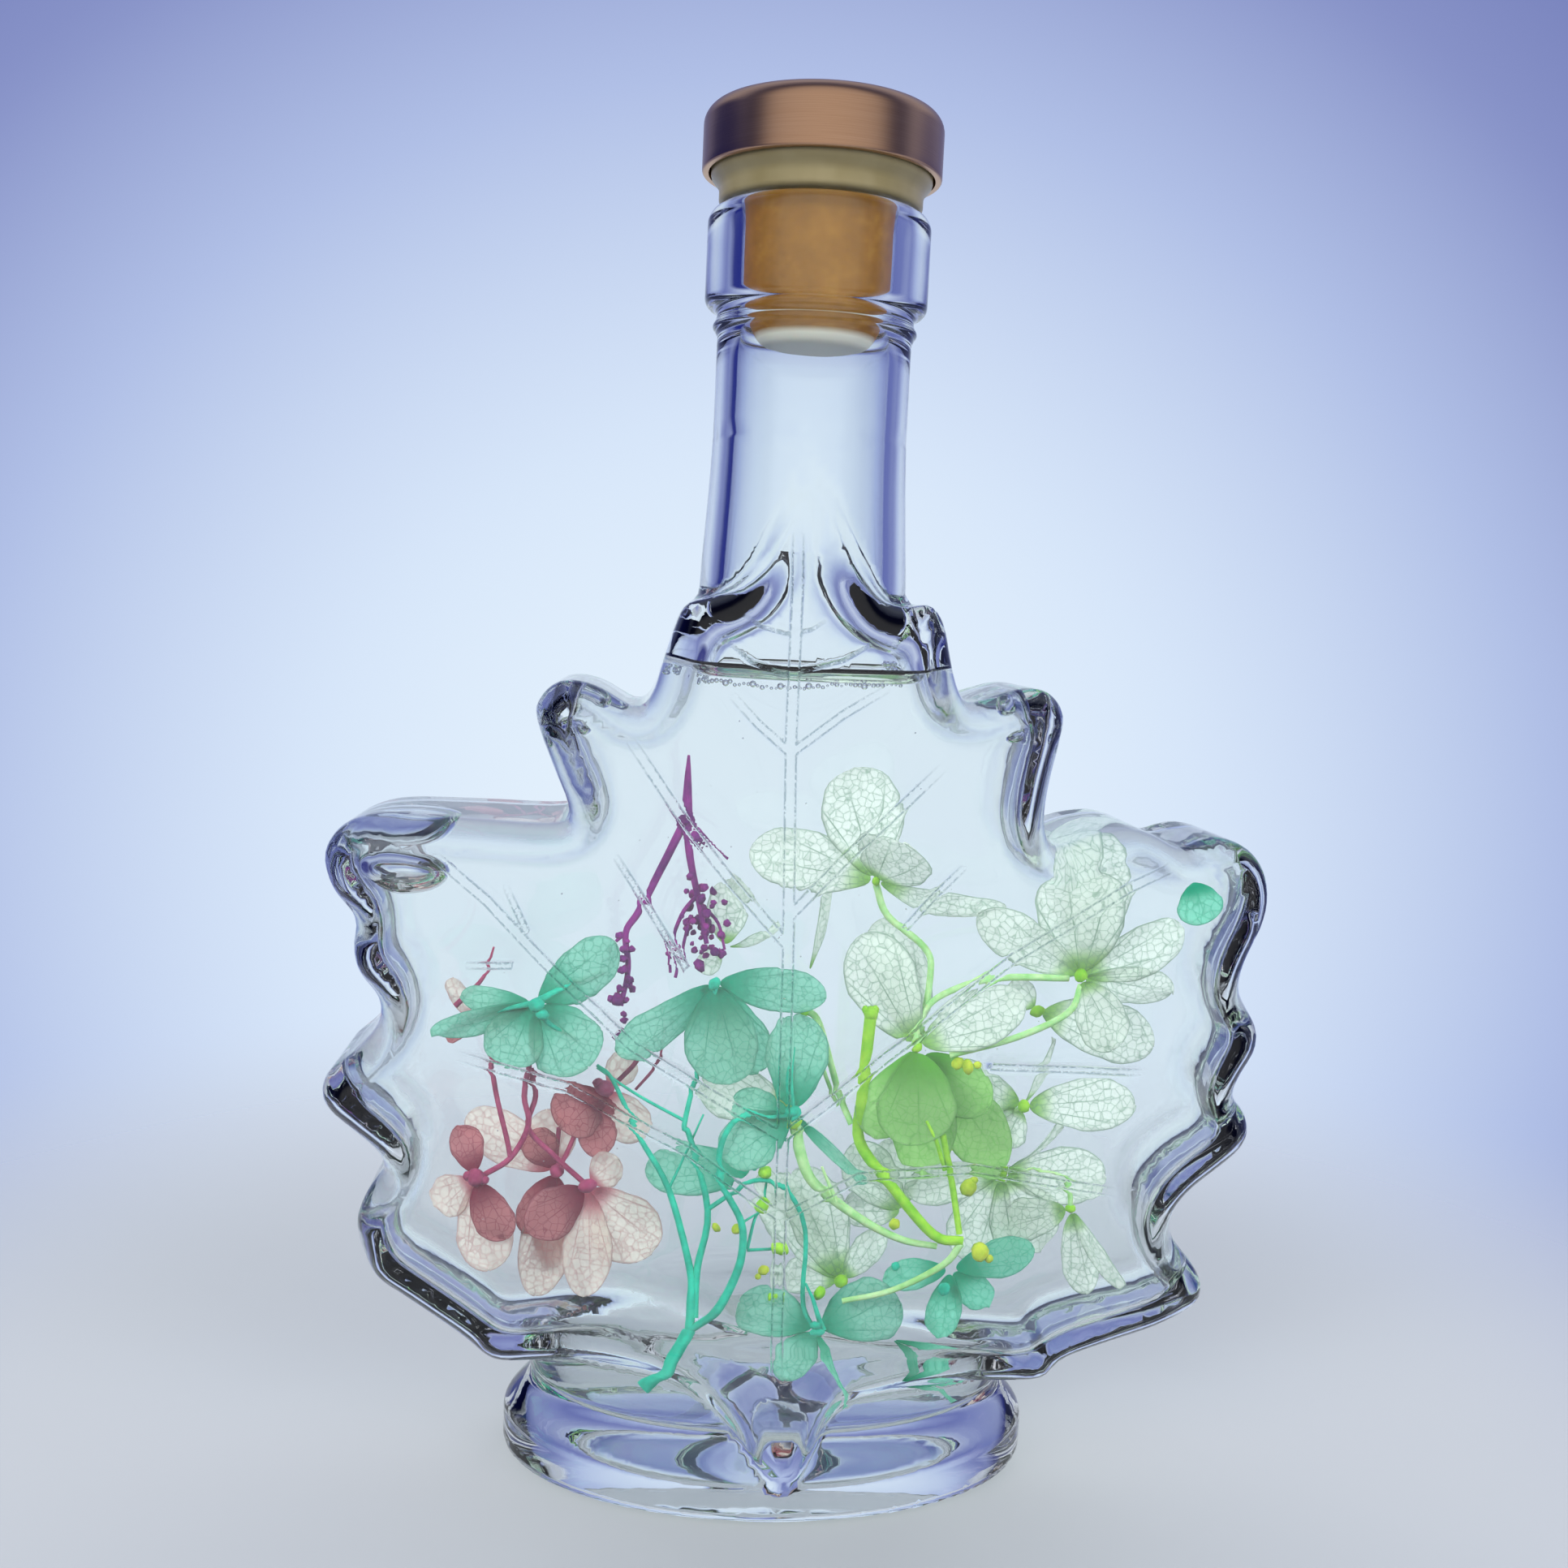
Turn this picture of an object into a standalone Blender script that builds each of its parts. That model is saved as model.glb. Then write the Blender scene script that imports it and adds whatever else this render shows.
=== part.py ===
"""Maple leaf shaped glass bottle with oil inside and a metal capped push-in stopper.

Lengths below are millimetres in the bottle's frame: x to the right, y away from
the viewer, z up, zero at the middle of the foot's underside. Meshes are in metres.
"""
import math

import bmesh
import bpy
import numpy as np

MM = 0.001

# Leaf outline at the middle of the wall, anticlockwise from the right shoulder.
LEAF = [
    (2.2, 122.4), (-1.0, 126.0), (-2.8, 122.0), (-5.0, 116.6), (-6.5, 113.4), (-9.0, 110.6), (-12.0, 109.3),
    (-14.6, 108.3), (-16.0, 104.8), (-17.2, 100.7), (-18.0, 98.0), (-19.9, 96.0), (-24.7, 98.4), (-28.7, 98.8),
    (-31.1, 96.9), (-31.6, 94.2), (-28.9, 87.6), (-27.4, 84.0), (-28.7, 82.0), (-40.4, 82.1), (-49.0, 82.1),
    (-53.4, 80.9), (-55.6, 78.8), (-56.3, 76.0), (-54.9, 72.6), (-52.2, 69.6), (-52.4, 66.2), (-51.6, 63.2),
    (-49.0, 60.0), (-49.4, 56.6), (-52.6, 52.8), (-55.2, 50.5), (-55.9, 48.2), (-54.8, 46.1), (-51.8, 43.8),
    (-48.8, 41.4), (-48.1, 39.4), (-50.2, 36.0), (-51.4, 32.2), (-50.2, 28.0), (-48.7, 25.4), (-45.2, 23.2),
    (-39.8, 19.7), (-37.2, 17.8), (-35.6, 16.4), (-33.2, 15.6), (-27.6, 16.2), (-21.3, 16.6), (-13.8, 15.6),
    (-8.7, 13.6), (-4.8, 10.2), (-2.2, 5.6), (0.8, 3.0), (3.9, 5.6), (4.6, 8.0), (5.8, 10.9), (8.4, 13.4),
    (12.5, 14.0), (20.1, 14.2), (27.0, 14.0), (32.0, 13.8), (34.4, 14.4), (36.4, 16.6), (42.3, 18.6),
    (47.9, 20.2), (52.1, 22.0), (54.2, 23.5), (54.6, 25.4), (53.2, 28.0), (50.6, 31.0), (49.2, 33.6), (49.4, 36.0),
    (51.4, 38.6), (54.6, 41.0), (57.6, 43.4), (58.8, 45.6), (58.2, 48.2), (56.2, 50.6), (57.0, 53.2),
    (58.8, 56.2), (59.0, 59.0), (57.4, 61.6), (56.0, 64.2), (56.6, 67.4), (58.6, 71.4), (59.3, 75.4),
    (58.4, 79.2), (55.9, 81.8), (52.0, 82.8), (49.2, 82.0), (47.2, 81.4), (43.8, 83.0), (40.2, 83.8),
    (35.6, 82.8), (31.6, 81.2), (29.7, 83.6), (29.9, 88.2), (31.2, 94.2), (31.6, 97.4), (29.6, 99.9),
    (26.4, 100.2), (22.6, 99.0), (19.6, 98.2), (18.2, 100.2), (17.3, 103.6), (16.4, 107.4), (14.4, 109.7),
    (11.4, 109.2), (8.4, 110.4), (5.6, 114.6), (3.6, 119.0),
]

RIM_HALF_DEPTH = 11.8
FACE_SWELL = 6.0
TOP_LOBE_RISE = 2.3
STEM_RISE = 6.8
RIM_ROUND_IN = 3.4
RIM_ROUND_DEEP = 5.0
WALL = 3.1
FLOOR = 6.5

FOOT_WIDTH = 67.6
FOOT_DEPTH = 42.4
FOOT_HEIGHT = 9.6
FOOT_STEP = 3.5
UNDERSIDE = 0.15
PEDESTAL_TOP = 21.0

NECK_R = 11.9
NECK_R_LOW = 13.0
NECK_FOOT = 92.0
BORE_R = 9.35
BORE_R_LOW = 10.1
NECK_JOIN = 129.0

LIP_R = 13.6
LIP_LOW = 144.2
LIP_TOP = 156.2
BEAD_R = 12.5
BEAD_HEIGHT = 142.2

OIL_LEVEL = 99.8
GAP = 0.32

PLUG_R = 9.0
PLUG_END = 140.0
COLLAR_R = 13.45
COLLAR_NECK_R = 12.4
COLLAR_LOW = 156.55
CAP_R = 14.55
CAP_LOW = 160.3
CAP_TOP = 168.0
CAP_WALL = 0.6
CAP_ROUND = 2.2

NET_STEP = 1.5
GLASS_FACES = 0.116
SEGMENTS = 40


def closed_curve(points, cuts):
    """Smooth closed line through the points, with cuts pieces from one to the next."""
    p = np.array(points, float)
    before = np.roll(p, 1, axis=0)
    after = np.roll(p, -1, axis=0)
    beyond = np.roll(p, -2, axis=0)
    rows = []
    for i in range(cuts):
        t = i / cuts
        rows.append(
            0.5 * (2 * p + (after - before) * t
                   + (2 * before - 5 * p + 4 * after - beyond) * t * t
                   + (3 * p - before - 3 * after + beyond) * t ** 3)
        )
    return np.stack(rows, axis=1).reshape(-1, 2)


def outline_distance(curve, px, pz):
    """Distance from points to the closed line, negative inside it."""
    ax, az = curve[:, 0], curve[:, 1]
    bx, bz = np.roll(ax, -1), np.roll(az, -1)
    best = np.full(px.shape, 1e9)
    inside = np.zeros(px.shape, bool)
    for x0, z0, x1, z1 in zip(ax, az, bx, bz):
        dx, dz = x1 - x0, z1 - z0
        t = np.clip(((px - x0) * dx + (pz - z0) * dz) / (dx * dx + dz * dz), 0, 1)
        best = np.minimum(best, (px - x0 - t * dx) ** 2 + (pz - z0 - t * dz) ** 2)
        if z0 != z1:
            crosses = ((z0 > pz) != (z1 > pz)) & (px < x0 + (pz - z0) * dx / dz)
            inside ^= crosses
    return np.where(inside, -1.0, 1.0) * np.sqrt(best)


def blurred(table, sigma):
    """Table of values smoothed over sigma cells both ways."""
    reach = int(4 * sigma) + 1
    k = np.exp(-0.5 * (np.arange(-reach, reach + 1) / sigma) ** 2)
    k /= k.sum()
    padded = np.pad(table, reach, mode="edge")
    rows = np.apply_along_axis(np.convolve, 0, padded, k, "valid")
    return np.apply_along_axis(np.convolve, 1, rows, k, "valid")


GRID = 0.5
GRID_X = np.arange(-68.0, 68.01, GRID)
GRID_Z = np.arange(-8.0, 136.01, GRID)
TABLE = outline_distance(closed_curve(LEAF, 4), *np.meshgrid(GRID_X, GRID_Z, indexing="ij"))
OUTER_TABLE = blurred(TABLE, 1.0)
INNER_TABLE = blurred(TABLE, 3.0)


def looked_up(table, x, z):
    """Value of a table between its points."""
    u = np.clip((x - GRID_X[0]) / GRID, 0, len(GRID_X) - 1.001)
    v = np.clip((z - GRID_Z[0]) / GRID, 0, len(GRID_Z) - 1.001)
    i, j = u.astype(int), v.astype(int)
    a, b = u - i, v - j
    low = table[i, j] * (1 - a) + table[i + 1, j] * a
    high = table[i, j + 1] * (1 - a) + table[i + 1, j + 1] * a
    return low * (1 - b) + high * b


def eased(low, high, value):
    """Smooth step from 0 at low to 1 at high."""
    t = np.clip((value - low) / (high - low), 0, 1)
    return t * t * (3 - 2 * t)


def union(a, b, soft):
    """Both shapes, with a fillet of about soft between them."""
    h = np.clip(0.5 + 0.5 * (b - a) / soft, 0, 1)
    return b * (1 - h) + a * h - soft * h * (1 - h)


def rounded(side, face, side_round, face_round):
    """Solid held in by a side and a face, their edge rounded."""
    a = side / side_round + 1
    b = face / face_round + 1
    out = np.hypot(np.maximum(a, 0), np.maximum(b, 0))
    inner = np.minimum(np.maximum(a, b), 0)
    return (out + inner - 1) * 0.5 * (side_round + face_round)


def half_depth(x, z):
    """Half the depth of the leaf body over its face."""
    q = (x / 60) ** 2 + ((z - 52) / 63) ** 2
    swell = FACE_SWELL * np.clip(1 - q, 0, 1) ** 0.75
    top = TOP_LOBE_RISE * np.exp(-(x / 11) ** 2) * eased(84, 112, z)
    stem = STEM_RISE * (1 - eased(8, 24, z)) * np.exp(-(x / 15) ** 2)
    depth = RIM_HALF_DEPTH + swell + top + stem
    return depth + (NECK_R - 0.3 - depth) * eased(108, 128, z)


def foot_radii(z):
    """Half width and half depth of the pedestal at a height."""
    edge = 1.6
    low = edge - np.sqrt(np.clip(edge ** 2 - np.clip(edge - z, 0, edge) ** 2, 0, None))
    step = FOOT_STEP * eased(5.0, FOOT_HEIGHT + 1.2, z)
    inset = low + step
    return FOOT_WIDTH / 2 - inset, FOOT_DEPTH / 2 - inset


def oval(x, y, rx, ry):
    """Distance to an upright oval wall, about right near it."""
    k = np.hypot(x / rx, y / ry) + 1e-6
    g = np.hypot(x / rx ** 2, y / ry ** 2) + 1e-6 / rx
    return (k - 1) * k / g


def outer_shape(x, y, z):
    """Outside of the glass below the neck join, negative inside."""
    side = looked_up(OUTER_TABLE, x, z)
    narrow = 1 - 0.45 * eased(106, 112, z)
    leaf = rounded(side, np.abs(y) - half_depth(x, z), RIM_ROUND_IN * narrow, RIM_ROUND_DEEP * narrow)
    radius = NECK_R + (NECK_R_LOW - NECK_R) * (1 - eased(104, 132, z))
    neck = rounded(np.hypot(x, y) - radius, NECK_FOOT - z, 6.0, 6.0)
    rx, ry = foot_radii(z)
    wall = oval(x, y, rx, ry)
    foot = np.maximum(rounded(wall, z - PEDESTAL_TOP, 2.0, 2.0), -z)
    body = union(leaf, neck, 1.6)
    return np.maximum(union(body, foot, 1.2), -z)


def inner_shape(x, y, z):
    """Hollow of the bottle below the neck join, negative inside."""
    side = looked_up(INNER_TABLE, x, z) + WALL
    depth = half_depth(x, np.maximum(z, 18.0)) - WALL - 0.4
    leaf = rounded(side, np.abs(y) - depth, 3.4, 5.0)
    radius = BORE_R + (BORE_R_LOW - BORE_R) * (1 - eased(104, 130, z))
    neck = rounded(np.hypot(x, y) - radius, NECK_FOOT - z, 6.0, 6.0)
    wall = oval(x, y, FOOT_WIDTH / 2 - FOOT_STEP - WALL - 0.6, FOOT_DEPTH / 2 - FOOT_STEP - WALL - 0.4)
    foot = rounded(wall, np.maximum(FLOOR - z, z - PEDESTAL_TOP - 3.0), 4.0, 4.0)
    return union(union(leaf, neck, 3.0), foot, 2.5)


def shape_slope(shape, p):
    """Direction in which the shape's value grows fastest."""
    h = 0.02
    columns = []
    for axis in range(3):
        d = np.zeros(3)
        d[axis] = h
        columns.append((shape(*(p + d).T) - shape(*(p - d).T)) / (2 * h))
    return np.stack(columns, axis=1)


def settled(shape, p, offset=0.0, rounds=5):
    """Points moved onto the shape's surface, then outward by the offset."""
    for _ in range(rounds):
        g = shape_slope(shape, p)
        move = shape(*p.T) / np.maximum((g * g).sum(axis=1), 0.05)
        p = p - np.clip(move, -1.0, 1.0)[:, None] * g
    if offset:
        g = shape_slope(shape, p)
        p = p + offset * g / np.linalg.norm(g, axis=1)[:, None]
    return p


def surface_net(shape, xs, ys, zs):
    """Corners and four-sided faces of a shape's surface, one corner in each grid cell that it crosses."""
    value = shape(*np.meshgrid(xs, ys, zs, indexing="ij"))
    inside = value < 0
    grid = (xs, ys, zs)
    cells = tuple(n - 1 for n in value.shape)
    total = np.zeros(cells + (3,))
    count = np.zeros(cells)
    crossings = []
    for axis in range(3):
        lower = [slice(None)] * 3
        upper = [slice(None)] * 3
        lower[axis] = slice(None, -1)
        upper[axis] = slice(1, None)
        a, b = value[tuple(lower)], value[tuple(upper)]
        cross = inside[tuple(lower)] != inside[tuple(upper)]
        t = np.where(cross, a / np.where(cross, a - b, 1.0), 0.0)
        spots = np.stack(np.meshgrid(*[grid[k][:-1] if k == axis else grid[k] for k in range(3)], indexing="ij"), axis=-1)
        spots[..., axis] += t * np.diff(grid[axis]).reshape([-1 if k == axis else 1 for k in range(3)])
        crossings.append(cross)
        others = [k for k in range(3) if k != axis]
        for first in (0, 1):
            for second in (0, 1):
                window = [slice(None)] * 3
                window[others[0]] = slice(first, value.shape[others[0]] - 1 + first)
                window[others[1]] = slice(second, value.shape[others[1]] - 1 + second)
                hit = cross[tuple(window)]
                total += np.where(hit[..., None], spots[tuple(window)], 0.0)
                count += hit
    used = count > 0
    number = np.full(cells, -1)
    number[used] = np.arange(used.sum())
    corners = total[used] / count[used][:, None]
    faces = []
    for axis in range(3):
        b, c = (axis + 1) % 3, (axis + 2) % 3
        cross = crossings[axis]
        inner = [slice(None)] * 3
        inner[b] = slice(1, -1)
        inner[c] = slice(1, -1)
        spots = np.argwhere(cross[tuple(inner)])
        spots[:, b] += 1
        spots[:, c] += 1
        ring = []
        for db, dc in ((-1, -1), (0, -1), (0, 0), (-1, 0)):
            at = spots.copy()
            at[:, b] += db
            at[:, c] += dc
            ring.append(number[tuple(at.T)])
        quad = np.stack(ring, axis=1)
        starts_inside = inside[tuple(spots.T)]
        quad[~starts_inside] = quad[~starts_inside][:, ::-1]
        faces.append(quad)
    return corners, np.concatenate(faces)


def net_mesh(shape, lower, upper, step):
    """Mesh of a shape's surface, open where the grid ends."""
    axes = [np.arange(a, b + 0.5 * step, step) for a, b in zip(lower, upper)]
    corners, faces = surface_net(shape, *axes)
    corners = settled(shape, corners)
    bm = bmesh.new()
    verts = [bm.verts.new(c) for c in corners]
    for f in faces:
        bm.faces.new([verts[i] for i in f])
    return bm


def thinned(bm, ratio, shape):
    """The mesh with fewer faces, its corners put back on the shape."""
    mesh = bpy.data.meshes.new("net")
    bm.to_mesh(mesh)
    bm.free()
    obj = bpy.data.objects.new("net", mesh)
    bpy.context.scene.collection.objects.link(obj)
    mod = obj.modifiers.new("fewer_faces", "DECIMATE")
    mod.ratio = ratio
    out = bmesh.new()
    out.from_object(obj, bpy.context.evaluated_depsgraph_get())
    bpy.data.objects.remove(obj)
    bpy.data.meshes.remove(mesh)
    p = settled(shape, np.array([v.co for v in out.verts]), rounds=3)
    for v, co in zip(out.verts, p):
        v.co = co
    return out


def open_edges(bm):
    """Edges with a face on one side only."""
    return [e for e in bm.edges if e.is_boundary]


def flatten_underside(bm):
    """Cut the underside off level and close it with a flat ring round one square face under the middle."""
    bmesh.ops.bisect_plane(
        bm, geom=list(bm.verts) + list(bm.edges) + list(bm.faces), dist=1e-4,
        plane_co=(0, 0, UNDERSIDE), plane_no=(0, 0, -1), clear_outer=True,
    )
    rim = [e for e in open_edges(bm) if e.verts[0].co.z < 1.0]
    for v in {v for e in rim for v in e.verts}:
        v.co.z = 0.0
    square = bmesh.ops.create_circle(bm, cap_ends=True, segments=4, radius=12.0)["verts"]
    bmesh.ops.translate(bm, verts=square, vec=(3.0, -2.0, 0.0))
    sides = list({e for v in square for e in v.link_edges})
    bmesh.ops.bridge_loops(bm, edges=rim + sides)


def lathe(bm, profile, segments):
    """Spin a line of (radius, height) points round the upright axis."""
    verts = [bm.verts.new((r, 0, z)) for r, z in profile]
    edges = [bm.edges.new(pair) for pair in zip(verts, verts[1:])]
    made = bmesh.ops.spin(
        bm, geom=verts + edges, cent=(0, 0, 0), axis=(0, 0, 1), dvec=(0, 0, 0),
        angle=2 * math.pi, steps=segments, use_merge=True, use_duplicate=False,
    )
    bmesh.ops.remove_doubles(bm, verts=bm.verts, dist=1e-5)
    return made


def arc(r, z, radius, start, end, steps):
    """Points of an arc round (r, z), angles in degrees."""
    points = []
    for i in range(steps + 1):
        a = math.radians(start + (end - start) * i / steps)
        points.append((r + radius * math.cos(a), z + radius * math.sin(a)))
    return points


def lip_profile(fine):
    """Line up the outside of the neck, over the lip and down the bore."""
    line = [(NECK_R, NECK_JOIN + 2.0), (NECK_R, BEAD_HEIGHT - 1.3)]
    line += arc(NECK_R, BEAD_HEIGHT, BEAD_R - NECK_R, -60, 60, fine)
    line += [(NECK_R + 0.1, LIP_LOW - 0.5)]
    line += arc(LIP_R - 1.3, LIP_LOW + 1.3, 1.3, -80, 0, fine)
    line += arc(LIP_R - 1.9, LIP_TOP - 1.9, 1.9, 0, 90, fine)
    line += arc(BORE_R + 1.0, LIP_TOP - 1.0, 1.0, 90, 180, fine)
    line += [(BORE_R, LIP_LOW), (BORE_R, NECK_JOIN + 2.0)]
    return line


def add_piece(bm, name, colour, roughness, metallic, alpha=1.0):
    """Turn the mesh into a named object in metres with its own plain material."""
    for v in bm.verts:
        v.co = v.co * MM
    bmesh.ops.recalc_face_normals(bm, faces=bm.faces)
    for f in bm.faces:
        f.smooth = True
    for e in bm.edges:
        if len(e.link_faces) == 2 and e.calc_face_angle() > math.radians(40):
            e.smooth = False
    mesh = bpy.data.meshes.new(name)
    bm.to_mesh(mesh)
    bm.free()
    obj = bpy.data.objects.new(name, mesh)
    bpy.context.scene.collection.objects.link(obj)
    mat = bpy.data.materials.new(name + "_surface")
    mat.use_nodes = True
    shader = mat.node_tree.nodes["Principled BSDF"]
    shader.inputs["Base Color"].default_value = (*colour, 1.0)
    shader.inputs["Roughness"].default_value = roughness
    shader.inputs["Metallic"].default_value = metallic
    shader.inputs["Alpha"].default_value = alpha
    mesh.materials.append(mat)
    return obj


def build_glass():
    """One solid: outside, lip and hollow, with the mouth open."""
    reach = NECK_JOIN + 0.1
    low = (-63.0, -25.5, -3.0)
    high = (63.0, 25.5, reach)
    bm = thinned(net_mesh(outer_shape, low, high, NET_STEP), GLASS_FACES, outer_shape)
    flatten_underside(bm)
    hollow = thinned(net_mesh(inner_shape, low, high, NET_STEP), GLASS_FACES, inner_shape)
    skin = bpy.data.meshes.new("hollow")
    hollow.to_mesh(skin)
    bm.from_mesh(skin)
    rims = open_edges(bm)
    outer_rim = [e for e in rims if e.verts[0].co.xy.length > 0.5 * (NECK_R + BORE_R)]
    inner_rim = [e for e in rims if e.verts[0].co.xy.length <= 0.5 * (NECK_R + BORE_R)]
    known = set(bm.edges)
    lathe(bm, lip_profile(3), SEGMENTS)
    ends = [e for e in open_edges(bm) if e not in known and e.verts[0].co.z < NECK_JOIN + 2.5]
    for rim, inside in ((outer_rim, False), (inner_rim, True)):
        ring = [e for e in ends if (e.verts[0].co.xy.length < 0.5 * (NECK_R + BORE_R)) == inside]
        bmesh.ops.bridge_loops(bm, edges=rim + ring)
    bmesh.ops.triangulate(bm, faces=[f for f in bm.faces if len(f.verts) > 4])
    add_piece(bm, "glass_bottle", (0.80, 0.86, 0.86), 0.04, 0.0, 0.35)
    return hollow, skin


def build_oil(hollow):
    """Solid filling the hollow up to the level, clear of the glass."""
    p = settled(inner_shape, np.array([v.co for v in hollow.verts]), offset=-GAP, rounds=2)
    for v, co in zip(hollow.verts, p):
        v.co = co
    bmesh.ops.bisect_plane(
        hollow, geom=list(hollow.verts) + list(hollow.edges) + list(hollow.faces),
        plane_co=(0, 0, OIL_LEVEL), plane_no=(0, 0, 1), clear_outer=True,
    )
    bmesh.ops.holes_fill(hollow, edges=open_edges(hollow), sides=0)
    add_piece(hollow, "oil", (0.86, 0.92, 0.90), 0.03, 0.0, 0.35)


def build_plug():
    """Solid plug pushed into the bore."""
    bm = bmesh.new()
    top = CAP_TOP - CAP_WALL - GAP
    line = [(0, PLUG_END), (PLUG_R - 3.8, PLUG_END), (PLUG_R - 2.4, PLUG_END + 0.6)]
    line += [(PLUG_R - 0.8, PLUG_END + 3.2), (PLUG_R, PLUG_END + 6.0)]
    line += [(PLUG_R, top - 0.3), (PLUG_R - 0.3, top), (0, top)]
    lathe(bm, line, SEGMENTS)
    add_piece(bm, "stopper_plug", (0.45, 0.24, 0.08), 0.6, 0.0)


def build_collar():
    """Pale ring between the lip and the metal cap."""
    bm = bmesh.new()
    top = CAP_TOP - CAP_WALL - GAP
    bore = PLUG_R + GAP
    line = [(bore, COLLAR_LOW), (COLLAR_NECK_R - 0.7, COLLAR_LOW), (COLLAR_NECK_R, COLLAR_LOW + 0.7)]
    line += [(COLLAR_NECK_R, CAP_LOW - 1.7), (COLLAR_R - 0.3, CAP_LOW - 0.8), (COLLAR_R, CAP_LOW - 0.3)]
    line += [(COLLAR_R, top - 2.2), (COLLAR_R - 0.6, top - 0.7)]
    line += [(COLLAR_R - 2.0, top), (bore, top), (bore, COLLAR_LOW)]
    lathe(bm, line, SEGMENTS)
    add_piece(bm, "stopper_collar", (0.60, 0.64, 0.50), 0.35, 0.0)


def build_cap():
    """Turned metal shell, open below."""
    bm = bmesh.new()
    inner_r = COLLAR_R + GAP
    inner_top = CAP_TOP - CAP_WALL
    line = [(0, CAP_TOP)]
    line += arc(CAP_R - CAP_ROUND, CAP_TOP - CAP_ROUND, CAP_ROUND, 90, 0, 5)
    line += arc(CAP_R - 0.3, CAP_LOW + 0.3, 0.3, 0, -90, 2)
    line += [(inner_r, CAP_LOW), (inner_r, inner_top - 1.9), (inner_r - 0.5, inner_top - 0.5)]
    line += [(inner_r - 1.9, inner_top), (0, inner_top)]
    lathe(bm, line, SEGMENTS)
    add_piece(bm, "metal_cap", (0.48, 0.27, 0.19), 0.35, 1.0)


def main():
    for obj in list(bpy.data.objects):
        bpy.data.objects.remove(obj, do_unlink=True)
    hollow, skin = build_glass()
    build_oil(hollow)
    bpy.data.meshes.remove(skin)
    build_plug()
    build_collar()
    build_cap()


main()
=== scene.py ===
"""Looks of the maple leaf bottle: moulded clear glass, oil, preserved flowers and twigs, stopper and cap.

Shapes are worked out in millimetres in the bottle's frame and scaled to metres at the end.
"""
import math
import random

import bmesh
import bpy
import numpy as np
from mathutils import Matrix, Vector, noise


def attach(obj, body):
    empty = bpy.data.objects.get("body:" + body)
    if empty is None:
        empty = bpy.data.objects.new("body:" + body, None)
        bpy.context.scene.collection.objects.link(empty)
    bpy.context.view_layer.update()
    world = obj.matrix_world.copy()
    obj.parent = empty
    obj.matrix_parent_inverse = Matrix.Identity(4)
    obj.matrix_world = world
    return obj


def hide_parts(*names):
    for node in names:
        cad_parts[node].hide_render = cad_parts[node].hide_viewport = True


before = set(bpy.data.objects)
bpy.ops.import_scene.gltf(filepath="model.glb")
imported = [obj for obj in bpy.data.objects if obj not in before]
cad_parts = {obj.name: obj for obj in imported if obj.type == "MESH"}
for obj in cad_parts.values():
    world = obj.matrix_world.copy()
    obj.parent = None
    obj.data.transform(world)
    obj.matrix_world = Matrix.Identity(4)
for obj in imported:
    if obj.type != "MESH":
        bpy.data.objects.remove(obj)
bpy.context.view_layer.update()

MM = 0.001
IMAGE = 1932

# Camera of the photograph, in the bottle's frame.
LENS_PX = 1971.3
VIEW_DISTANCE = 200.7
VIEW_HEIGHT = 107.5
VIEW_AZIMUTH = math.radians(-4.84)
VIEW_PITCH = math.radians(-5.98)
VIEW_PAN = math.radians(-0.33)
VIEW_ROLL = math.radians(2.69)

OIL_IOR = 1.41
GLASS_IOR = 1.52

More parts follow.
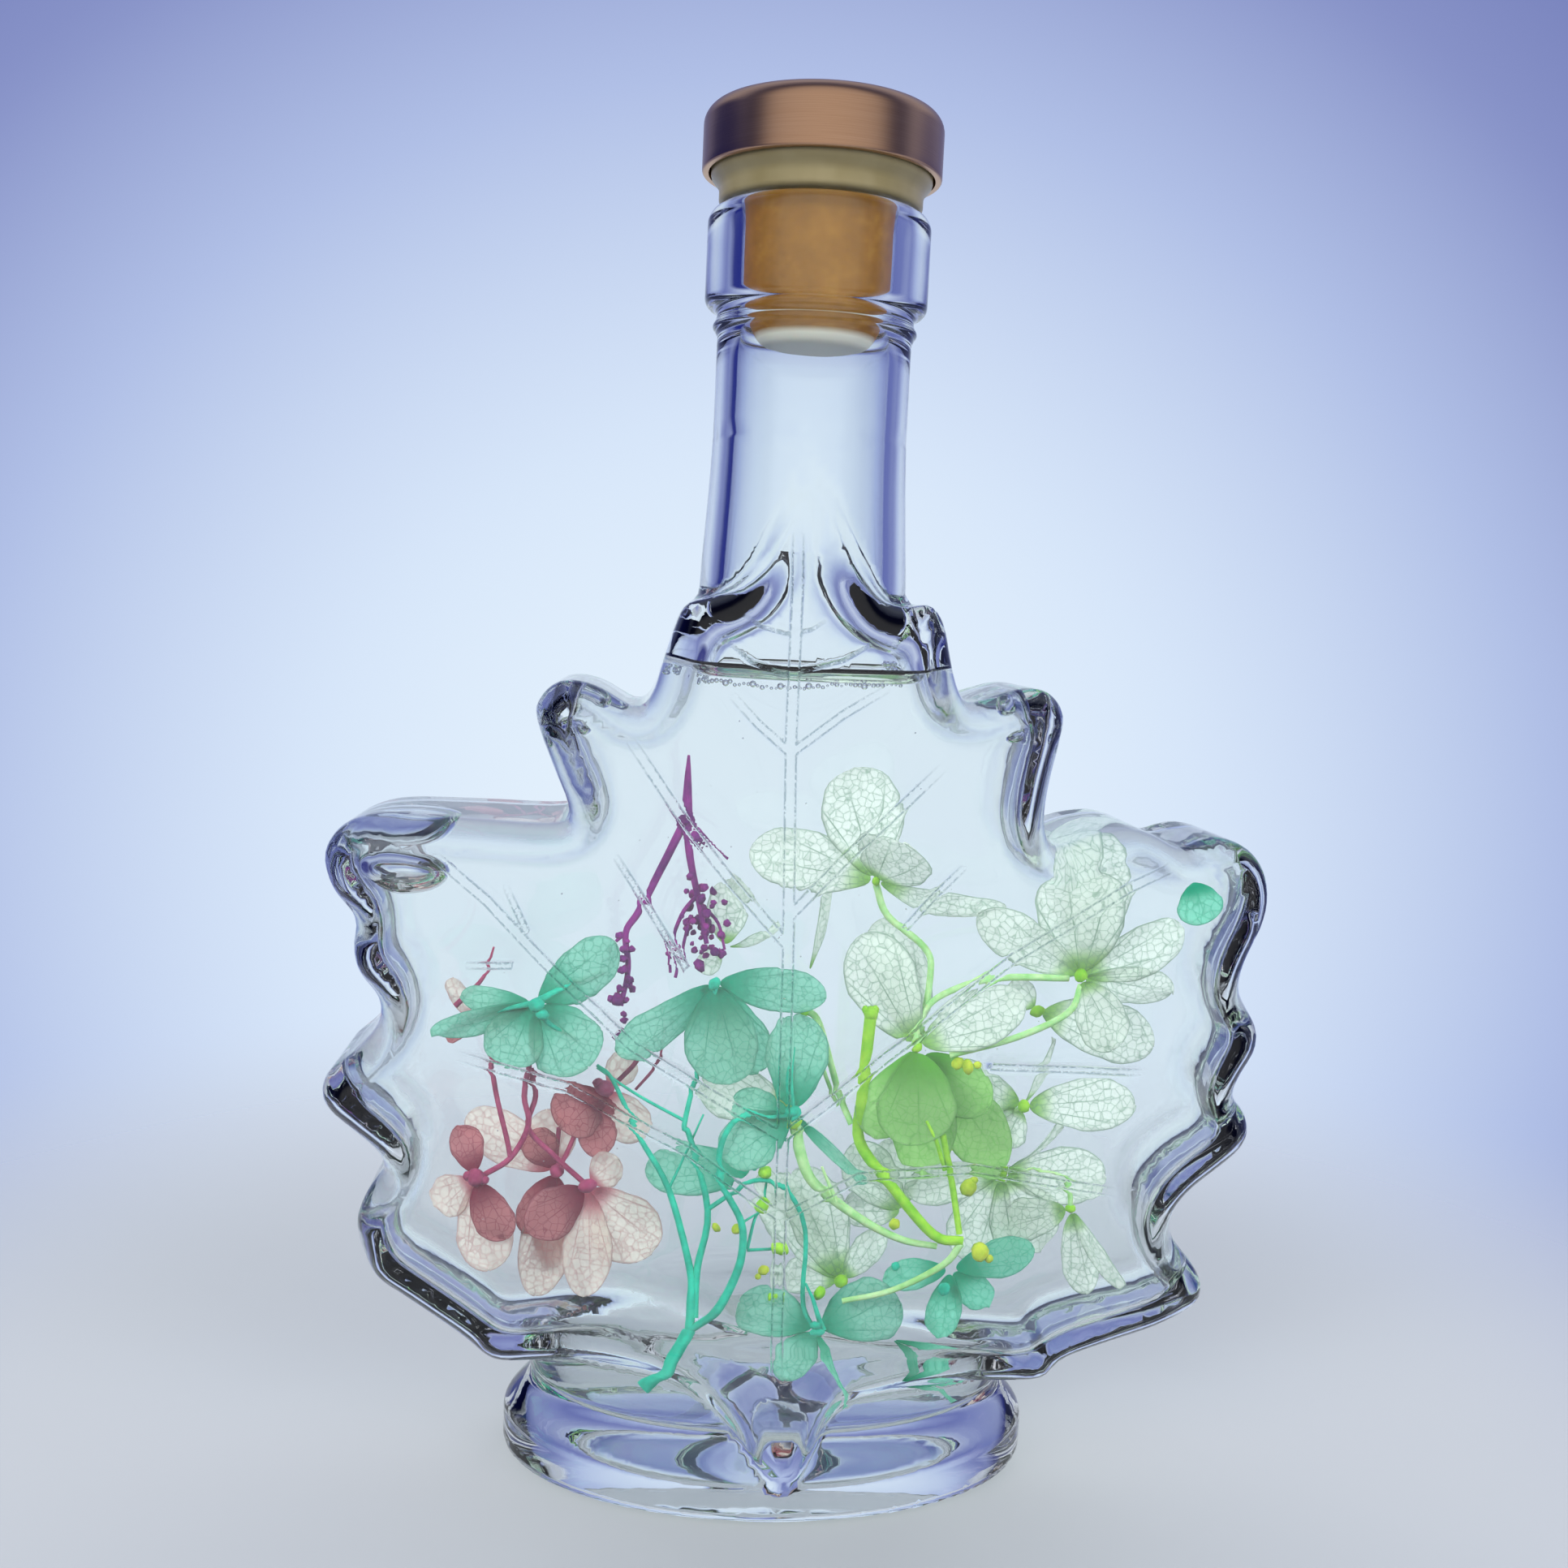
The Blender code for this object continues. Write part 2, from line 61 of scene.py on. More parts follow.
LEAF = [
    (2.2, 122.4), (-1.0, 126.0), (-2.8, 122.0), (-5.0, 116.6), (-6.5, 113.4), (-9.0, 110.6), (-12.0, 109.3),
    (-14.6, 108.3), (-16.0, 104.8), (-17.2, 100.7), (-18.0, 98.0), (-19.9, 96.0), (-24.7, 98.4),
    (-28.7, 98.8),
    (-31.1, 96.9), (-31.6, 94.2), (-28.9, 87.6), (-27.4, 84.0), (-28.7, 82.0), (-40.4, 82.1), (-49.0, 82.1),
    (-53.4, 80.9), (-55.6, 78.8), (-56.3, 76.0), (-54.9, 72.6), (-52.2, 69.6), (-52.4, 66.2), (-51.6, 63.2),
    (-49.0, 60.0), (-49.4, 56.6), (-52.6, 52.8), (-55.2, 50.5), (-55.9, 48.2), (-54.8, 46.1), (-51.8, 43.8),
    (-48.8, 41.4), (-48.1, 39.4), (-50.2, 36.0), (-51.4, 32.2), (-50.2, 28.0), (-48.7, 25.4), (-45.2, 23.2),
    (-39.8, 19.7), (-37.2, 17.8), (-35.6, 16.4), (-33.2, 15.6), (-27.6, 16.2), (-21.3, 16.6), (-13.8, 15.6),
    (-8.7, 13.6), (-4.8, 10.2), (-2.2, 5.6), (0.8, 3.0), (3.9, 5.6), (4.6, 8.0), (5.8, 10.9), (8.4, 13.4),
    (12.5, 14.0), (20.1, 14.2), (27.0, 14.0), (32.0, 13.8), (34.4, 14.4), (36.4, 16.6), (42.3, 18.6),
    (47.9, 20.2), (52.1, 22.0), (54.2, 23.5), (54.6, 25.4), (53.2, 28.0), (50.6, 31.0), (49.2, 33.6),
    (49.4, 36.0),
    (51.4, 38.6), (54.6, 41.0), (57.6, 43.4), (58.8, 45.6), (58.2, 48.2), (56.2, 50.6), (57.0, 53.2),
    (58.8, 56.2), (59.0, 59.0), (57.4, 61.6), (56.0, 64.2), (56.6, 67.4), (58.6, 71.4), (59.3, 75.4),
    (58.4, 79.2), (55.9, 81.8), (52.0, 82.8), (49.2, 82.0), (47.2, 81.4), (43.8, 83.0), (40.2, 83.8),
    (35.6, 82.8), (31.6, 81.2), (29.7, 83.6), (29.9, 88.2), (31.2, 94.2), (31.6, 97.4), (29.6, 99.9),
    (26.4, 100.2), (22.6, 99.0), (19.6, 98.2), (18.2, 100.2), (17.3, 103.6), (16.4, 107.4), (14.4, 109.7),
    (11.4, 109.2), (8.4, 110.4), (5.6, 114.6), (3.6, 119.0),
]

RIM_HALF_DEPTH = 11.8
FACE_SWELL = 6.0
TOP_LOBE_RISE = 2.3
STEM_RISE = 6.8
RIM_ROUND_IN = 3.4
RIM_ROUND_DEEP = 5.0
WALL = 3.1
FLOOR = 6.5
FOOT_WIDTH = 67.6
FOOT_DEPTH = 42.4
FOOT_HEIGHT = 9.6
FOOT_STEP = 3.5
PEDESTAL_TOP = 21.0
NECK_R = 11.9
NECK_R_LOW = 13.0
NECK_FOOT = 92.0
BORE_R = 9.35
BORE_R_LOW = 10.1
NECK_JOIN = 129.0
LIP_R = 13.6
LIP_LOW = 144.2
LIP_TOP = 156.2
BEAD_R = 12.5
BEAD_HEIGHT = 142.2
OIL_LEVEL = 99.8
PLUG_R = 9.0
PLUG_END = 140.0
COLLAR_R = 13.45
COLLAR_NECK_R = 12.4
COLLAR_LOW = 156.55
CAP_R = 14.55
CAP_LOW = 160.3
CAP_TOP = 168.0
CAP_WALL = 0.6
CAP_ROUND = 2.2
GAP = 0.32

GLASS_GRAIN = 1.05
FRONT_FROM = -8.0
FILM_WIDTH = 36.0
SEGMENTS = 96
INTO_WALL = 0.2

# Ribs of the moulded leaf veins on the front face: half width in mm, length over which each end fades, and
# the middle line as pixels of the photograph.
VEINS = [
    (0.62, 3.0, 5.0, [(984, 652), (975, 900), (971, 1180), (962, 1480), (957, 1700)]),
    (0.14, 3.0, 3.0, [(910, 752), (938, 772), (972, 782), (1000, 776), (1022, 762)]),
    (0.14, 3.0, 3.0, [(892, 786), (928, 818), (972, 832), (1040, 814), (1080, 790)]),
    (0.45, 5.0, 0.0, [(898, 852), (934, 892), (972, 926)]),
    (0.45, 5.0, 0.0, [(1098, 846), (1040, 880), (972, 930)]),
    (0.55, 5.0, 0.0, [(772, 905), (835, 1000), (900, 1085), (970, 1165)]),
    (0.55, 5.0, 0.0, [(1165, 943), (1100, 1005), (1040, 1060), (972, 1130)]),
    (0.35, 3.0, 0.0, [(755, 1050), (800, 1120), (850, 1200)]),
    (0.35, 3.0, 0.0, [(1195, 1062), (1150, 1105), (1110, 1150)]),
    (0.55, 5.0, 0.0, [(530, 1050), (600, 1110), (670, 1185), (780, 1290), (962, 1400)]),
    (0.35, 3.0, 0.0, [(622, 1090), (650, 1150)]),
    (0.35, 3.0, 0.0, [(565, 1190), (640, 1190)]),
    (0.55, 5.0, 0.0, [(1450, 1065), (1390, 1095), (1250, 1180), (1110, 1290), (966, 1400)]),
    (0.35, 0.0, 3.0, [(1220, 1315), (1320, 1318), (1410, 1322)]),
    (0.55, 5.0, 0.0, [(560, 1300), (700, 1340), (850, 1420), (962, 1500)]),
    (0.50, 5.0, 0.0, [(1380, 1470), (1200, 1440), (1060, 1450), (964, 1500)]),
]
VEIN_RISE = 0.07
VEIN_EDGE = 0.5


def view_axes():
    """Where the camera stands, and its right, up and forward directions."""
    place = Vector((
        VIEW_DISTANCE * math.sin(VIEW_AZIMUTH), -VIEW_DISTANCE * math.cos(VIEW_AZIMUTH), VIEW_HEIGHT,
    ))
    heading = VIEW_AZIMUTH - VIEW_PAN
    level = math.cos(VIEW_PITCH)
    ahead = Vector((-math.sin(heading) * level, math.cos(heading) * level, math.sin(VIEW_PITCH)))
    side = ahead.cross(Vector((0, 0, 1))).normalized()
    top = side.cross(ahead)
    right = side * math.cos(VIEW_ROLL) + top * math.sin(VIEW_ROLL)
    up = top * math.cos(VIEW_ROLL) - side * math.sin(VIEW_ROLL)
    return place, right, up, ahead


EYE, RIGHT, UP, AHEAD = view_axes()


def sight_line(px, py):
    """Direction from the camera through a pixel."""
    half = IMAGE / 2
    return (AHEAD + RIGHT * ((px - half) / LENS_PX) + UP * ((half - py) / LENS_PX)).normalized()


def on_face(px, py):
    """Point of the leaf's front face that a pixel shows."""
    line = sight_line(px, py)
    y = -16.0
    for _ in range(4):
        spot = EYE + line * ((y - EYE.y) / line.y)
        y = -float(half_depth(np.array(spot.x), np.array(max(spot.z, 18.0))))
    return spot, line


def in_oil(px, py, depth):
    """Point at y = depth inside the bottle that a pixel shows through the front face."""
    spot, line = on_face(px, py)
    ratio = 1 / OIL_IOR
    cosine = line.y
    bend = math.sqrt(1 - ratio * ratio * (1 - cosine * cosine))
    bent = line * ratio + Vector((0, 1, 0)) * (bend - ratio * cosine)
    return spot + bent * ((depth - spot.y) / bent.y)


def between(a, b, c, d, t):
    """Point a part t of the way from b to c on the smooth line through a, b, c and d."""
    square = (2 * a - 5 * b + 4 * c - d) * t * t
    return 0.5 * (2 * b + (c - a) * t + square + (3 * b - a - 3 * c + d) * t ** 3)


def closed_curve(points, cuts):
    """Smooth closed line through the points, with cuts pieces from one to the next."""
    p = np.array(points, float)
    around = [np.roll(p, shift, axis=0) for shift in (1, 0, -1, -2)]
    return np.stack([between(*around, i / cuts) for i in range(cuts)], axis=1).reshape(-1, 2)


def outline_distance(curve, px, pz):
    """Distance from points to the closed line, negative inside it."""
    ax, az = curve[:, 0], curve[:, 1]
    bx, bz = np.roll(ax, -1), np.roll(az, -1)
    best = np.full(px.shape, 1e9)
    inside = np.zeros(px.shape, bool)
    for x0, z0, x1, z1 in zip(ax, az, bx, bz):
        dx, dz = x1 - x0, z1 - z0
        t = np.clip(((px - x0) * dx + (pz - z0) * dz) / (dx * dx + dz * dz), 0, 1)
        best = np.minimum(best, (px - x0 - t * dx) ** 2 + (pz - z0 - t * dz) ** 2)
        if z0 != z1:
            inside ^= ((z0 > pz) != (z1 > pz)) & (px < x0 + (pz - z0) * dx / dz)
    return np.where(inside, -1.0, 1.0) * np.sqrt(best)


def blurred(table, sigma):
    """Table of values smoothed over sigma cells both ways."""
    reach = int(4 * sigma) + 1
    k = np.exp(-0.5 * (np.arange(-reach, reach + 1) / sigma) ** 2)
    k /= k.sum()
    padded = np.pad(table, reach, mode="edge")
    rows = np.apply_along_axis(np.convolve, 0, padded, k, "valid")
    return np.apply_along_axis(np.convolve, 1, rows, k, "valid")


GRID = 0.5
GRID_X = np.arange(-68.0, 68.01, GRID)
GRID_Z = np.arange(-8.0, 136.01, GRID)
TABLE = outline_distance(closed_curve(LEAF, 4), *np.meshgrid(GRID_X, GRID_Z, indexing="ij"))
OUTER_TABLE = blurred(TABLE, 1.0)
INNER_TABLE = blurred(TABLE, 3.0)


def looked_up(table, x, z):
    """Value of a table between its points."""
    u = np.clip((x - GRID_X[0]) / GRID, 0, len(GRID_X) - 1.001)
    v = np.clip((z - GRID_Z[0]) / GRID, 0, len(GRID_Z) - 1.001)
    i, j = u.astype(int), v.astype(int)
    a, b = u - i, v - j
    low = table[i, j] * (1 - a) + table[i + 1, j] * a
    high = table[i, j + 1] * (1 - a) + table[i + 1, j + 1] * a
    return low * (1 - b) + high * b


def eased(low, high, value):
    """Smooth step from 0 at low to 1 at high."""
    t = np.clip((value - low) / (high - low), 0, 1)
    return t * t * (3 - 2 * t)


def union(a, b, soft):
    """Both shapes, with a fillet of about soft between them."""
    h = np.clip(0.5 + 0.5 * (b - a) / soft, 0, 1)
    return b * (1 - h) + a * h - soft * h * (1 - h)


def rounded(side, face, side_round, face_round):
    """Solid held in by a side and a face, their edge rounded."""
    a = side / side_round + 1
    b = face / face_round + 1
    out = np.hypot(np.maximum(a, 0), np.maximum(b, 0))
    inner = np.minimum(np.maximum(a, b), 0)
    return (out + inner - 1) * 0.5 * (side_round + face_round)


def half_depth(x, z):
    """Half the depth of the leaf body over its face."""
    q = (x / 60) ** 2 + ((z - 52) / 63) ** 2
    swell = FACE_SWELL * np.clip(1 - q, 0, 1) ** 0.75
    top = TOP_LOBE_RISE * np.exp(-(x / 11) ** 2) * eased(84, 112, z)
    stem = STEM_RISE * (1 - eased(8, 24, z)) * np.exp(-(x / 15) ** 2)
    depth = RIM_HALF_DEPTH + swell + top + stem
    return depth + (NECK_R - 0.3 - depth) * eased(108, 128, z)


def foot_radii(z):
    """Half width and half depth of the pedestal at a height."""
    edge = 1.6
    low = edge - np.sqrt(np.clip(edge ** 2 - np.clip(edge - z, 0, edge) ** 2, 0, None))
    step = FOOT_STEP * eased(5.0, FOOT_HEIGHT + 1.2, z)
    inset = low + step
    return FOOT_WIDTH / 2 - inset, FOOT_DEPTH / 2 - inset


def oval(x, y, rx, ry):
    """Distance to an upright oval wall, about right near it."""
    k = np.hypot(x / rx, y / ry) + 1e-6
    g = np.hypot(x / rx ** 2, y / ry ** 2) + 1e-6 / rx
    return (k - 1) * k / g


def vein_lines():
    """Vein ribs as (half width, fade at the start, fade at the end, (x, z) line) on the front face."""
    lines = []
    for half, start_fade, end_fade, vein in VEINS:
        spots = [on_face(px, py)[0] for px, py in vein]
        lines.append((half, start_fade, end_fade, [(s.x, s.z) for s in spots]))
    return lines


VEIN_LINES = vein_lines()


def vein_edge(x, z):
    """Distance out from the edge of the nearest vein rib, and how strongly the rib is moulded there."""
    best = np.full(np.shape(x), 6.0)
    strength = np.zeros(np.shape(x))
    for half, start_fade, end_fade, line in VEIN_LINES:
        lengths = [math.dist(a, b) for a, b in zip(line, line[1:])]
        whole = sum(lengths)
        run = 0.0
        for i, ((x0, z0), (x1, z1)) in enumerate(zip(line, line[1:])):
            t = ((x - x0) * (x1 - x0) + (z - z0) * (z1 - z0)) / lengths[i] ** 2
            beyond = ((t < 0) & (i == 0)) | ((t > 1) & (i == len(lengths) - 1))
            t = np.clip(t, 0, 1)
            gap = np.hypot(x - x0 - t * (x1 - x0), z - z0 - t * (z1 - z0)) - half
            along = run + t * lengths[i]
            from_start = np.clip(along / max(start_fade, 0.01), 0, 1)
            from_end = np.clip((whole - along) / max(end_fade, 0.01), 0, 1)
            nearer = (gap < best) & ~beyond
            best = np.where(nearer, gap, best)
            strength = np.where(nearer, from_start * from_end, strength)
            run += lengths[i]
    return best, strength


def outer_shape(x, y, z):
    """Outside of the glass below the neck join, negative inside."""
    side = looked_up(OUTER_TABLE, x, z)
    narrow = 1 - 0.45 * eased(106, 112, z)
    leaf = rounded(side, np.abs(y) - half_depth(x, z), RIM_ROUND_IN * narrow, RIM_ROUND_DEEP * narrow)
    radius = NECK_R + (NECK_R_LOW - NECK_R) * (1 - eased(104, 132, z))
    neck = rounded(np.hypot(x, y) - radius, NECK_FOOT - z, 6.0, 6.0)
    rx, ry = foot_radii(z)
    foot = np.maximum(rounded(oval(x, y, rx, ry), z - PEDESTAL_TOP, 2.0, 2.0), -z)
    body = union(leaf, neck, 1.6)
    return np.maximum(union(body, foot, 1.2), -z)


def inner_shape(x, y, z):
    """Hollow of the bottle below the neck join, negative inside."""
    side = looked_up(INNER_TABLE, x, z) + WALL
    depth = half_depth(x, np.maximum(z, 18.0)) - WALL - 0.4
    leaf = rounded(side, np.abs(y) - depth, RIM_ROUND_IN, RIM_ROUND_DEEP)
    radius = BORE_R + (BORE_R_LOW - BORE_R) * (1 - eased(104, 130, z))
    neck = rounded(np.hypot(x, y) - radius, NECK_FOOT - z, 6.0, 6.0)
    wall = oval(x, y, FOOT_WIDTH / 2 - FOOT_STEP - WALL - 0.6, FOOT_DEPTH / 2 - FOOT_STEP - WALL - 0.4)
    foot = rounded(wall, np.maximum(FLOOR - z, z - PEDESTAL_TOP - 3.0), 4.0, 4.0)
    return union(union(leaf, neck, 3.0), foot, 2.5)


def wall_gap(spot):
    """Distance from a point to the wall of the hollow, negative inside the hollow."""
    return float(inner_shape(*(np.array(c) for c in spot)))


def shape_slope(shape, p):
    """Direction in which the shape's value grows fastest."""
    h = 0.02
    columns = []
    for axis in range(3):
        d = np.zeros(3)
        d[axis] = h
        columns.append((shape(*(p + d).T) - shape(*(p - d).T)) / (2 * h))
    return np.stack(columns, axis=1)


def settled(shape, p, offset=0.0, rounds=4):
    """Points moved onto the shape's surface, then outward by the offset."""
    for _ in range(rounds):
        g = shape_slope(shape, p)
        move = shape(*p.T) / np.maximum((g * g).sum(axis=1), 0.05)
        p = p - np.clip(move, -1.0, 1.0)[:, None] * g
    if offset:
        g = shape_slope(shape, p)
        p = p + offset * g / np.linalg.norm(g, axis=1)[:, None]
    return p


def moulded_normals(bm, skins):
    """Normals of a mesh in millimetres, taken from the shapes where a vertex lies on one of them."""
    places = coordinates(bm.verts)
    bm.normal_update()
    normals = np.array([v.normal[:] for v in bm.verts])
    below = places[:, 2] < NECK_JOIN + 0.1
    for shape, sign, offset in skins:
        on_skin = below & (np.abs(shape(*places.T) - offset) < 0.06)
        slope = shape_slope(shape, places[on_skin])
        normals[on_skin] = sign * slope / np.maximum(np.linalg.norm(slope, axis=1), 1e-6)[:, None]
    return normals


def to_object(bm, name, materials, smooth_angle=None, skins=()):
    """Mesh in millimetres made an object in metres that rides on the bottle's one body."""
    normals = moulded_normals(bm, skins) if skins else None
    bmesh.ops.scale(bm, vec=(MM, MM, MM), verts=bm.verts)
    for f in bm.faces:
        f.smooth = True
    if smooth_angle is not None:
        for e in bm.edges:
            if len(e.link_faces) == 2 and e.calc_face_angle() > math.radians(smooth_angle):
                e.smooth = False
    mesh = mesh_from(bm, name)
    if normals is not None:
        mesh.normals_split_custom_set_from_vertices([tuple(n) for n in normals])
    for mat in materials:
        mesh.materials.append(mat)
    obj = placed(name, mesh)
    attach(obj, "root")
    return obj


def mesh_from(bm, name):
    """Mesh of a bmesh, which is freed."""
    mesh = bpy.data.meshes.new(name)
    bm.to_mesh(mesh)
    bm.free()
    return mesh


def placed(name, data):
    """New object in the scene."""
    obj = bpy.data.objects.new(name, data)
    bpy.context.scene.collection.objects.link(obj)
    return obj


def remeshed(node, grain):
    """Even closed mesh of a CAD node in millimetres, from a voxel remesh of a copy of it."""
    bm = bmesh.new()
    bm.from_mesh(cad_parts[node].data)
    bmesh.ops.remove_doubles(bm, verts=bm.verts, dist=1e-6)
    bmesh.ops.scale(bm, vec=(1000, 1000, 1000), verts=bm.verts)
    mesh = mesh_from(bm, "even")
    obj = placed("even", mesh)
    mod = obj.modifiers.new("even", "REMESH")
    mod.mode = "VOXEL"
    mod.voxel_size = grain
    out = bmesh.new()
    out.from_object(obj, bpy.context.evaluated_depsgraph_get())
    bpy.data.objects.remove(obj)
    bpy.data.meshes.remove(mesh)
    return out


def cut_above(bm, height):
    """Take off what is above a height, leaving the cut open."""
    bmesh.ops.bisect_plane(
        bm, geom=list(bm.verts) + list(bm.edges) + list(bm.faces), dist=1e-4,
        plane_co=(0, 0, height), plane_no=(0, 0, 1), clear_outer=True,
    )


def coordinates(verts):
    """Places of vertices as rows."""
    return np.array([v.co[:] for v in verts])


def settle_verts(verts, shape, offset=0.0, rounds=4):
    """Move vertices onto a shape's surface."""
    for v, co in zip(verts, settled(shape, coordinates(verts), offset, rounds)):
        v.co = co


def moulded(bm, verts, shape):
    """Even out vertices over a shape's surface."""
    free = [v for v in verts if not v.is_boundary]
    for _ in range(3):
        bmesh.ops.smooth_vert(bm, verts=free, factor=0.5, use_axis_x=True, use_axis_y=True, use_axis_z=True)
        settle_verts(free, shape, rounds=2)
    settle_verts(free, shape, rounds=3)


def open_edges(bm):
    """Edges with a face on one side only."""
    return [e for e in bm.edges if e.is_boundary]


def arc(r, z, radius, start, end, steps):
    """Points of an arc round (r, z), angles in degrees."""
    points = []
    for i in range(steps + 1):
        a = math.radians(start + (end - start) * i / steps)
        points.append((r + radius * math.cos(a), z + radius * math.sin(a)))
    return points


def lathe(bm, profile, segments=SEGMENTS):
    """Spin a line of (radius, height) points round the upright axis."""
    verts = [bm.verts.new((r, 0, z)) for r, z in profile]
    edges = [bm.edges.new(pair) for pair in zip(verts, verts[1:])]
    bmesh.ops.spin(
        bm, geom=verts + edges, cent=(0, 0, 0), axis=(0, 0, 1), dvec=(0, 0, 0),
        angle=2 * math.pi, steps=segments, use_merge=True, use_duplicate=False,
    )
    bmesh.ops.remove_doubles(bm, verts=bm.verts, dist=1e-5)


def colour(code):
    """sRGB hex to linear RGBA."""
    parts = [int(code[i:i + 2], 16) / 255 for i in (1, 3, 5)]
    return (*[c / 12.92 if c <= 0.04045 else ((c + 0.055) / 1.055) ** 2.4 for c in parts], 1.0)


def add(tree, kind, settings=None, links=None, **attributes):
    """Add a node with its attributes, socket values and links from sockets, or from nodes' first sockets."""
    node = tree.nodes.new(kind)
    for key, value in attributes.items():
        setattr(node, key, value)
    for key, value in (settings or {}).items():
        node.inputs[key].default_value = value
    for key, source in (links or {}).items():
        socket = source if isinstance(source, bpy.types.NodeSocket) else source.outputs[0]
        tree.links.new(socket, node.inputs[key])
    return node


def new_material(name):
    """Empty material and its node tree."""
    mat = bpy.data.materials.new(name)
    mat.use_nodes = True
    mat.node_tree.nodes.clear()
    return mat, mat.node_tree


def ramp_stops(node, stops):
    """Set a colour ramp's stops from (position, hex) pairs."""
    ramp = node.color_ramp
    while len(ramp.elements) < len(stops):
        ramp.elements.new(0.5)
    for element, (position, code) in zip(ramp.elements, stops):
        element.position = position
        element.color = colour(code)


def clear_body(tree, tint, ior, links=None):
    """Clear shader that lets lamps through to what is inside it."""
    body = add(
        tree, "ShaderNodeBsdfPrincipled",
        {"Base Color": colour(tint), "Roughness": 0.0, "IOR": ior, "Transmission Weight": 1.0}, links,
    )
    path = add(tree, "ShaderNodeLightPath")
    pass_light = add(tree, "ShaderNodeBsdfTransparent", {"Color": colour("#fafcfc")})
    mix = add(
        tree, "ShaderNodeMixShader",
        links={0: path.outputs["Is Shadow Ray"], 1: body, 2: pass_light},
    )
    add(tree, "ShaderNodeOutputMaterial", links={"Surface": mix})


def moulded_glass():
    """Soda-lime glass from an iron mould: clear, with slow waves, and the veins as fine double grooves whose
    edges are also painted darker grey-blue as painted shade.
    """
    mat, tree = new_material("moulded_soda_glass")
    coords = add(tree, "ShaderNodeTexCoord")
    wave = add(
        tree, "ShaderNodeTexNoise", {"Scale": 1000 / 8.0, "Detail": 2.0, "Roughness": 0.5},
        {"Vector": coords.outputs["Object"]},
    )
    gap = add(tree, "ShaderNodeAttribute", attribute_name="vein_gap")
    grain = add(
        tree, "ShaderNodeTexNoise", {"Scale": 1000 / 0.5, "Detail": 3.0, "Roughness": 0.7},
        {"Vector": coords.outputs["Object"]},
    )
    moulded_in = add(tree, "ShaderNodeAttribute", attribute_name="vein_strength")
    wander = add(tree, "ShaderNodeMath", {1: 0.30, 2: -0.15}, {0: grain}, operation="MULTIPLY_ADD")
    torn = add(tree, "ShaderNodeMath", links={0: gap.outputs["Fac"], 1: wander}, operation="ADD")
    far = add(tree, "ShaderNodeMath", links={0: torn}, operation="ABSOLUTE")
    groove_and_painted_shade = add(
        tree, "ShaderNodeMapRange", {"From Min": 0.05, "From Max": 0.17, "To Min": 1.0, "To Max": 0.0},
        {"Value": far},
    )
    broken = add(
        tree, "ShaderNodeMapRange", {"From Min": 0.36, "From Max": 0.52, "To Min": 0.10, "To Max": 0.9},
        {"Value": grain},
    )
    whole = add(tree, "ShaderNodeMath", links={0: groove_and_painted_shade, 1: broken}, operation="MULTIPLY")
    line = add(tree, "ShaderNodeMath", links={0: whole, 1: moulded_in.outputs["Fac"]}, operation="MULTIPLY")
    # These vein lines darken the glass colour towards grey-blue: painted shade for the dark lines that the
    # rib edges show by bending light.
    tint = add(
        tree, "ShaderNodeMix", {"A": colour("#fafdfd"), "B": colour("#7b9099")}, {"Factor": line},
        data_type="RGBA",
    )
    slow = add(tree, "ShaderNodeBump", {"Strength": 0.12, "Distance": 0.0002}, {"Height": wave})
    fine = add(
        tree, "ShaderNodeBump", {"Strength": 0.5, "Distance": 0.00006},
        {"Height": line, "Normal": slow},
    )
    clear_body(
        tree, "#fafdfd", GLASS_IOR, {"Normal": fine, "Base Color": tint.outputs["Result"]},
    )
    return mat


def light_oil():
    """Clear silicone oil: nearly colourless, a little less dense to light than the glass round it."""
    mat, tree = new_material("clear_silicone_oil")
    clear_body(tree, "#fdfefe", OIL_IOR)
    return mat


def satin_metal():
    """Turned aluminium, satin brushed round and anodised rose gold: soft streaks along the turning."""
    mat, tree = new_material("rose_gold_anodised_aluminium")
    coords = add(tree, "ShaderNodeTexCoord")
    parts = add(tree, "ShaderNodeSeparateXYZ", links={"Vector": coords.outputs["Object"]})
    angle = add(
        tree, "ShaderNodeMath", links={0: parts.outputs["Y"], 1: parts.outputs["X"]}, operation="ARCTAN2",
    )
    round_way = add(tree, "ShaderNodeMath", {1: 1.2}, {0: angle}, operation="MULTIPLY")
    up_way = add(tree, "ShaderNodeMath", {1: 9000.0}, {0: parts.outputs["Z"]}, operation="MULTIPLY")
    spread = add(tree, "ShaderNodeCombineXYZ", links={"X": round_way, "Y": up_way})
    streak = add(
        tree, "ShaderNodeTexNoise", {"Scale": 1.0, "Detail": 3.0, "Roughness": 0.6}, {"Vector": spread},
    )
    tone = add(tree, "ShaderNodeValToRGB", links={"Fac": streak})
    ramp_stops(tone, [(0.3, "#bf9472"), (0.7, "#cba180")])
    rough = add(
        tree, "ShaderNodeMapRange", {"To Min": 0.27, "To Max": 0.34}, {"Value": streak},
    )
    bump = add(tree, "ShaderNodeBump", {"Strength": 0.12, "Distance": 0.00003}, {"Height": streak})
    body = add(
        tree, "ShaderNodeBsdfPrincipled", {"Metallic": 1.0},
        {"Base Color": tone, "Roughness": rough, "Normal": bump},
    )
    add(tree, "ShaderNodeOutputMaterial", links={"Surface": body})
    return mat


